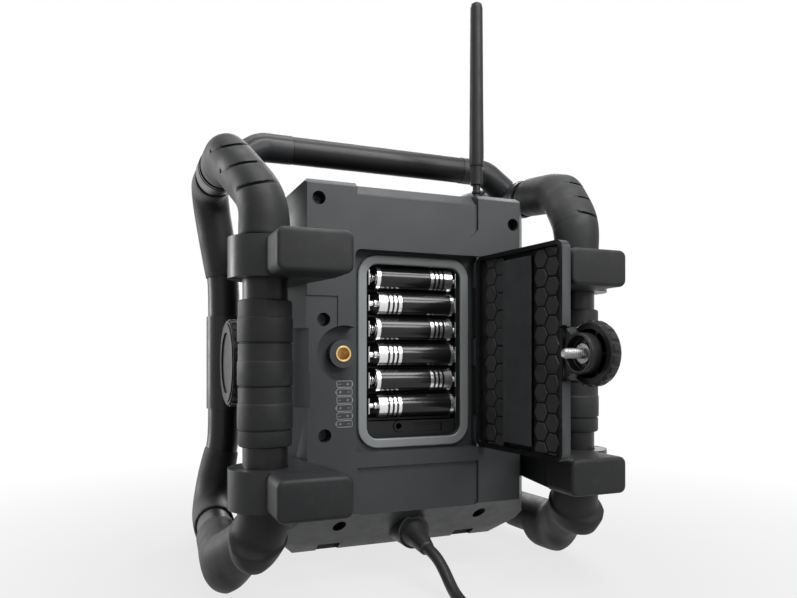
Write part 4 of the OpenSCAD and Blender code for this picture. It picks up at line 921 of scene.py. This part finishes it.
def slit_blades(side):
    """The three blades of one bumper, as one piece."""
    points, faces = [], []
    for ends in SLITS:
        a, m, b = (Vector((side * v[0], v[1], v[2])) for v in ends)
        skin_centre = circle_of(a, m, b)[0]
        bite = m + (skin_centre - m).normalized() * SLIT_DEPTH
        centre, normal = circle_of(a, bite, b)
        radius = (a - centre).length
        along = (a - centre).normalized()
        across = normal.cross(along)
        if across.dot(b - centre) < 0:
            across = -across
        sweep = along.angle((b - centre).normalized())
        start = len(points)
        for k in range(BLADE_STEPS + 1):
            turn = sweep * (-BLADE_REACH + (1 + 2 * BLADE_REACH) * k / BLADE_STEPS)
            out = along * math.cos(turn) + across * math.sin(turn)
            points += [centre + out * radius, centre + out * (radius + BLADE_RISE)]
        faces += [[start + 2 * k, start + 2 * k + 1, start + 2 * k + 3, start + 2 * k + 2]
                  for k in range(BLADE_STEPS)]
    blades = drawn("slit_blades", points, faces=faces)
    thick = blades.modifiers.new("thick", "SOLIDIFY")
    thick.thickness = SLIT_WIDTH
    thick.offset = 0
    apply(blades, "thick")
    edit(blades)
    face_outward()
    leave()
    return blades


# %% [markdown]
# ## Bent tubes and their rubber
# The cage is steel tube bent round a former, so its section stays round through every bend.
# The bumpers are rubber pushed over it. Their construction solids are rings of flat strips,
# and a Subdivision Surface turns them into a smooth sweep; creases keep the cut ends square.

# %% Cage tubes, bumpers and elbows
for name in ("side_loop_left", "side_loop_right", "top_bumper_left", "top_bumper_right",
             "foot_bumper_left", "foot_bumper_right", "front_top_bumpers",
             "front_foot_bumpers"):
    slit = name.startswith("top_bumper")
    piece = softened(stitched(name, False), plain=slit)
    if slit:
        cut_out(piece, slit_blades(1 if name.endswith("left") else -1))
        only(piece)
        shade(35)
    stands_for(piece, slot_of[name], "housing", name)
    tell(piece, name)
for name in ("handle_elbow_left", "handle_elbow_right"):
    elbow = bevelled(stitched(name), 0.3, 50, 2)
    tell(stands_for(elbow, slot_of[name], "housing", name), name)

# %% [markdown]
# ## The buffer blocks
# The radio can be laid on its back on four rubber blocks. Each is a moulded brick whose upright
# corners are well rounded and whose working face has a softer edge still, so a cube is sized,
# the four edges that run away from the wall are bevelled first, and then the outline of the
# outer face.

# %% Buffer blocks
PAD_X = (0.062, 0.099)
PAD_Y = (0.070073, REAR_Y + 0.0623)
PAD_HALF = 0.01025
PAD_HEIGHTS = (0.066, 0.1815)
CORNER_R, FACE_R = 0.004, 0.0021
blocks = []
for side in (-1, 1):
    for height in PAD_HEIGHTS:
        pad = block("buffer_block", (PAD_X[1] - PAD_X[0], PAD_Y[1] - PAD_Y[0], 2 * PAD_HALF),
                    (side * sum(PAD_X) / 2, sum(PAD_Y) / 2, height))
        edit(pad)
        pick("EDGE", run_along(1))
        bpy.ops.mesh.bevel(offset=CORNER_R, segments=7, affect="EDGES")
        pick("EDGE", lambda e: all(v.co.y > PAD_Y[1] - 0.0001 for v in e.verts))
        bpy.ops.mesh.bevel(offset=FACE_R, segments=5, affect="EDGES", profile=0.5)
        leave()
        shade(40)
        blocks.append(pad)
buffers = joined("buffer_blocks", blocks)
stands_for(buffers, "bumper_rubber", "housing", "clamp_pads")
tell(buffers, "clamp_pads")

# %% [markdown]
# ## The cells
# Six cells lie across, their terminals to the left and to the right in turn. Each is a steel
# can in a printed film: black, with a wide silver band and three thin rings beside the raised
# terminal and a bare silver edge at the flat end. The print is a colour ramp along the cell,
# measured from the terminal.

# %% The printed film
CELL_LEN = 0.0505
CELL_LOW_X, CELL_HIGH_X = -0.02635, 0.02415
# Silver from and to, in millimetres from the raised terminal.
CELL_SILVER = ((0, 6.6), (7.9, 9.6), (10.9, 12.4), (13.8, 15.7), (48.0, 50.5))


def film(name, start, towards):
    """Black film with silver where CELL_SILVER says, counted from start along towards x."""
    look = finish(name, (0.006, 0.006, 0.007), 0.2, 2, 0.004, 0.05, 0, 0.3)
    nodes, links = look.node_tree.nodes, look.node_tree.links
    shader = nodes["Principled BSDF"]
    place = made(nodes, "TexCoord")
    axes = made(nodes, "SeparateXYZ")
    ramp = made(nodes, "ValToRGB")
    ramp.color_ramp.interpolation = "CONSTANT"
    stops = ramp.color_ramp.elements
    while len(stops) > 1:
        stops.remove(stops[-1])
    stops[0].position, stops[0].color = 0, (1, 1, 1, 1)
    for begin, end in CELL_SILVER:
        for position, value in ((begin, 1), (end, 0)):
            stop = stops.new(min(position / (CELL_LEN * 1000), 1))
            stop.color = (value, value, value, 1)
    links.new(place.outputs["Object"], axes.inputs[0])
    along = ranged(nodes, links, axes.outputs["X"], start, start + towards * CELL_LEN, 0, 1)
    links.new(along, ramp.inputs["Fac"])
    base = made(nodes, "Mix")
    base.data_type = "RGBA"
    dark = shader.inputs["Base Color"].links[0].from_socket
    base.inputs[7].default_value = (0.75, 0.75, 0.76, 1)
    links.new(ramp.outputs["Color"], base.inputs[0])
    links.new(dark, base.inputs[6])
    links.new(base.outputs[2], shader.inputs["Base Color"])
    links.new(ramp.outputs["Color"], shader.inputs["Metallic"])
    return look


FILM = {1: film("film_terminal_left", CELL_HIGH_X, -1),
        -1: film("film_terminal_right", CELL_LOW_X, 1)}
print("films:", len(FILM))

# %% [markdown]
# A cell starts as a rod. Its ends are inset to form the crimped shoulder; then the terminal is
# pulled out at one end, and a shallow disc at the other.

# %% Cell shape
CELL_R, NUB = 0.00725, 0.0014
SHOULDER, CRIMP = 0.0011, 0.0003  # width and depth of the crimped edge
TERMINAL_R, DISC_R = 0.0026, 0.0046
CELLS = 6


def cell_place(i):
    """Lowest corner, highest corner and middle of a cell, and which way its terminal points."""
    low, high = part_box("battery_cell_%d" % (i + 1))
    return low, high, (low + high) / 2, 1 if i % 2 == 0 else -1


for i in range(CELLS):
    low, high, middle, way = cell_place(i)
    cell = rod("cell_%d" % (i + 1), CELL_R, CELL_LEN - NUB,
               (middle.x - way * NUB / 2, middle.y, middle.z), 56, "X")
    edit(cell)
    for end, inner, rise in ((way, TERMINAL_R, NUB + CRIMP), (-way, DISC_R, CRIMP)):
        pick("FACE", lambda f: f.normal.x * end > 0.9)
        bpy.ops.mesh.inset(thickness=SHOULDER)
        bpy.ops.transform.translate(value=(-end * CRIMP, 0, 0))
        bpy.ops.mesh.inset(thickness=CELL_R - SHOULDER - inner)
        pull((end * rise, 0, 0))
    leave()
    bevelled(cell, 0.35, 40, 3)
    stands_for(cell, "cell_sleeve", "housing", "battery_cell_%d" % (i + 1), look=FILM[way])
    tell(cell, "battery_cell_%d" % (i + 1))

# %% [markdown]
# ## Contacts
# Behind each flat end sits a conical spring of plated wire, and behind each raised terminal a
# pressed stud. A spring is a spiral of points that a round section follows, which is how the
# coiling machine makes it too; the stud is a cylinder whose rim is bevelled to a dome.

# %% Springs, studs and plates
CONTACT_X = 0.0286
PLATE_X, PLATE_SIZE = 0.02835, (0.0005, 0.0098, 0.0092)
STUD_R, STUD_GAP = 0.0019, 0.0004
SPRING_WIDE, SPRING_TAPER, SPRING_TURNS, SPRING_STEPS = 0.0042, 0.0022, 3.2, 90
WIRE_R, WIRE_SEAT = 0.00033, 0.00035  # the end turns lie flat, this far off plate and cell
FLAT_END, RISING = 0.08, 0.84  # share of the wire before it rises, and while it rises


def spring_points(base_x, flat_x, middle, way):
    points = []
    for k in range(SPRING_STEPS + 1):
        t = k / SPRING_STEPS
        radius = SPRING_WIDE - SPRING_TAPER * t
        angle = 2 * math.pi * SPRING_TURNS * t
        x = base_x + (flat_x - base_x) * min(max((t - FLAT_END) / RISING, 0), 1)
        x += WIRE_SEAT * way * (1 - 2 * t)
        points.append((x, middle.y + radius * math.cos(angle),
                       middle.z + radius * math.sin(angle)))
    return points


contacts = []
for i in range(CELLS):
    low, high, middle, way = cell_place(i)
    for side in (-1, 1):
        plate = block("plate", PLATE_SIZE, (side * PLATE_X, middle.y - 0.0004, middle.z))
        contacts.append(bevelled(plate, 0.12, 40, 2))
    terminal_x, flat_x = (high.x, low.x) if way > 0 else (low.x, high.x)
    contact_x = CONTACT_X * way
    stud = rod("stud", STUD_R, abs(contact_x - terminal_x) - STUD_GAP,
               ((contact_x + terminal_x) / 2, middle.y, middle.z), 28, "X")
    contacts.append(bevelled(stud, 0.6, 40, 4))
    spring = wire("spring", spring_points(-contact_x, flat_x, middle, way), WIRE_R)
    only(spring)
    bpy.ops.object.convert(target="MESH")
    contacts.append(spring)
contact_set = joined("contact_set", contacts)
stands_for(contact_set, "contact_metal", "housing", "battery_contacts")
tell(contact_set, "battery_contacts")

# %% [markdown]
# ## The foam strip
# A strip of open-cell foam is glued to the door, and presses on the cells when it is shut.
# Foam has no hard edges, and its face is never quite flat. A thin block is rounded along its
# outline, divided finely, and its face moved by a soft cloud texture.

# %% Foam strip
FOAM_X = (-0.0123, 0.0128)
FOAM_Z = (0.083, 0.1875)
FOAM_DEPTH, FOAM_THICK = 0.0058, 0.0014
foam = block("foam_strip", (FOAM_X[1] - FOAM_X[0], FOAM_THICK, FOAM_Z[1] - FOAM_Z[0]),
             (sum(FOAM_X) / 2, REAR_Y - FOAM_DEPTH, sum(FOAM_Z) / 2))
edit(foam)
pick("EDGE", run_along(2))
bpy.ops.mesh.subdivide(number_cuts=70)
pick("EDGE", run_along(0))
bpy.ops.mesh.subdivide(number_cuts=14)
leave()
bevelled(foam, 0.35, 60, 3)
cells_of_foam = bpy.data.textures.new("foam_cells", "CLOUDS")
cells_of_foam.noise_scale = 0.0035
uneven = foam.modifiers.new("uneven", "DISPLACE")
uneven.texture = cells_of_foam
uneven.strength = 0.0003
uneven.mid_level = 0.6
apply(foam, "uneven")
stands_for(swung(foam), "foam", "battery_door", "door_foam_pad")
tell(foam, "door_foam_pad")

# %% [markdown]
# ## The clamping screw
# The knob turns a steel screw that stands free where the door is open, so its thread shows. A
# real thread is rolled: the bar is squeezed between dies and the crest follows a helix. The
# same is done here to a cylinder cut into thin slices: each point moves in or out by where it
# stands along the helix, and the tip tapers off.

# %% Screw thread
SCREW_R = 0.0027
PITCH, THREAD_DEEP = 0.00125, 0.00042
SCREW_OUT, SCREW_TIP, THREAD_START = 0.0113, -0.0127, 0.0005  # y from the rear wall
TAPER_LEN, TAPER_IN = 0.0012, 0.0008
WASHER_R, WASHER_THICK = 0.0052, 0.0008
screw = rod("clamping_screw", SCREW_R, SCREW_OUT - SCREW_TIP,
            (KNOB_X, REAR_Y + (SCREW_OUT + SCREW_TIP) / 2, KNOB_Z), 40)
edit(screw)
pick("EDGE", run_along(1))
bpy.ops.mesh.subdivide(number_cuts=150)
leave()
for vertex in screw.data.vertices:
    x, y, z = vertex.co.x - KNOB_X, vertex.co.y - REAR_Y, vertex.co.z - KNOB_Z
    radius = math.hypot(x, z)
    turn = (y / PITCH - math.atan2(z, x) / (2 * math.pi)) % 1
    cut = THREAD_DEEP * (1 - abs(2 * turn - 1) ** 1.5) if y < THREAD_START else 0
    taper = TAPER_IN * max(0, (SCREW_TIP + TAPER_LEN - y) / TAPER_LEN)
    factor = (SCREW_R - cut - taper) / radius
    vertex.co.x, vertex.co.z = KNOB_X + x * factor, KNOB_Z + z * factor
shade(50)
washer = rod("washer", WASHER_R, WASHER_THICK, (KNOB_X, REAR_Y + WASHER_THICK / 2, KNOB_Z), 48)
screw = swung(joined("clamping_screw", [screw, bevelled(washer, 0.2, 40, 3)]))
stands_for(screw, "bright_steel", "clamping_knob", "knob_screw")
tell(screw, "knob_screw")

# %% [markdown]
# ## Raised and printed marks
# Moulded or printed signs are strokes of even width, a tenth of a millimetre or two high. A
# stroke is a round section that follows a line of points, made a mesh and then flattened
# against the wall it stands on. Only plain signs are used: outlines of cells with plus and
# minus, a power ring, arrows and bars on the keys, and the digits of the display.

# %% Strokes


def stroke(points, width, wall_y, cyclic=False, height=0.00012):
    """A flat stroke on a wall that faces along Y, through points (x, z) in metres."""
    piece = wire("stroke", [Vector((x, 0, z)) for x, z in points], width / 2, cyclic)
    piece.data.bevel_resolution = 1
    only(piece)
    bpy.ops.object.convert(target="MESH")
    for vertex in piece.data.vertices:
        vertex.co.y = wall_y + vertex.co.y * height / (width / 2)
    return piece


def signed(name, strokes, slot, body, look):
    sign = stands_for(joined(name, strokes), slot, body, look=look)
    print(name, len(sign.data.polygons), "faces")


def bar(x, z, half_x, half_z, width, wall_y):
    """A straight stroke through (x, z), level or upright."""
    return stroke([(x - half_x, z - half_z), (x + half_x, z + half_z)], width, wall_y)


def round_outline(x0, z0, x1, z1, r):
    points = []
    for cx, cz, start in ((x1 - r, z1 - r, 0), (x0 + r, z1 - r, 90), (x0 + r, z0 + r, 180),
                          (x1 - r, z0 + r, 270)):
        for k in range(5):
            a = math.radians(start + 22.5 * k)
            points.append((cx + r * math.cos(a), cz + r * math.sin(a)))
    return points


# %% [markdown]
# Beside the compartment stands one small outline for each cell, with its terminal, and a plus
# and a minus that change sides from cell to cell.

# %% Polarity signs beside the cells
SIGN_LEFT, SIGN_RIGHT = 0.0422, 0.0519
SIGN_LOW, SIGN_PITCH, SIGN_TALL = 0.0925, 0.00448, 0.0036
LINE, ARM = 0.0004, 0.0008  # a plus or minus: width of its line, and half its length
signs = []
for i in range(CELLS):
    z = SIGN_LOW + SIGN_PITCH * i
    middle_z = z + SIGN_TALL / 2
    middle_x = (SIGN_LEFT + SIGN_RIGHT) / 2
    way = 1 if i % 2 == 0 else -1
    outline = round_outline(SIGN_LEFT, z, SIGN_RIGHT - 0.0006, z + SIGN_TALL, 0.0008)
    terminal_x = SIGN_RIGHT if way > 0 else SIGN_LEFT - 0.0002
    plus_x, minus_x = middle_x + way * 0.0022, middle_x - way * 0.0028
    signs += [
        stroke(outline, 0.00045, REAR_Y, True),
        bar(terminal_x, middle_z, 0, 0.0006, 0.0007, REAR_Y),
        bar(plus_x, middle_z, ARM, 0, LINE, REAR_Y),
        bar(plus_x, middle_z, 0, ARM, LINE, REAR_Y),
        bar(minus_x, middle_z, ARM, 0, LINE, REAR_Y),
    ]
signed("polarity_signs", signs, "rear_housing", "housing", PRINT_GREY)

# %% [markdown]
# The four keys on the front carry plain signs: a power ring, three bars and two arrows. Each
# sign rides with its key, so it moves when the key is pressed.

# %% Signs on the keys
KEY_FACE, KEY_Z = REAR_Y - 0.1398, 0.1755
ring = [(0.0027 * math.sin(math.radians(a)), 0.0027 * math.cos(math.radians(a)))
        for a in range(40, 321, 20)]
KEY_SIGNS = {
    "button_power": (-0.036, [ring, [(0, 0.0006), (0, 0.0034)]]),
    "button_band": (-0.012, [[(-0.003, z), (0.003, z)] for z in (-0.002, 0, 0.002)]),
    "button_down": (0.012, [[(-0.0028, 0.0014), (0, -0.0018), (0.0028, 0.0014)]]),
    "button_up": (0.036, [[(-0.0028, -0.0014), (0, 0.0018), (0.0028, -0.0014)]]),
}
for name, (x, lines) in KEY_SIGNS.items():
    marks = [stroke([(x + px, KEY_Z + pz) for px, pz in line], 0.0006, KEY_FACE)
             for line in lines]
    signed("sign_" + name, marks, slot_of[name], body_of[name], PRINT_GREY)

# %% [markdown]
# The window shows a clock made of bars, as such displays do. Seven bars a to g make up a
# figure; their ends are given in halves of its width and height, a little short of its corners.

# %% Clock bars in the window
HALF_W, HALF_H, WINDOW_FACE, CLOCK_Z = 0.0026, 0.0056, -0.10712, 0.201
END = 0.86
BAR_ENDS = {
    "a": ((-END, 1), (END, 1)), "b": ((1, END), (1, 0)), "c": ((1, 0), (1, -END)),
    "d": ((-END, -1), (END, -1)), "e": ((-1, 0), (-1, -END)), "f": ((-1, END), (-1, 0)),
    "g": ((-END, 0), (END, 0)),
}
FIGURES = ((-0.0155, "bc"), (-0.0065, "abged"), (0.0065, "abgcd"), (0.0155, "abcdef"))
bars = []
for x, letters in FIGURES:
    for letter in letters:
        ends = [(x + u * HALF_W, CLOCK_Z + w * HALF_H) for u, w in BAR_ENDS[letter]]
        bars.append(stroke(ends, 0.0009, WINDOW_FACE))
for z in (CLOCK_Z + 0.0025, CLOCK_Z - 0.0025):
    bars.append(bar(0, z, 0, 0.0003, 0.001, WINDOW_FACE))
signed("clock_bars", bars, "window", "housing", BAR_GREY)
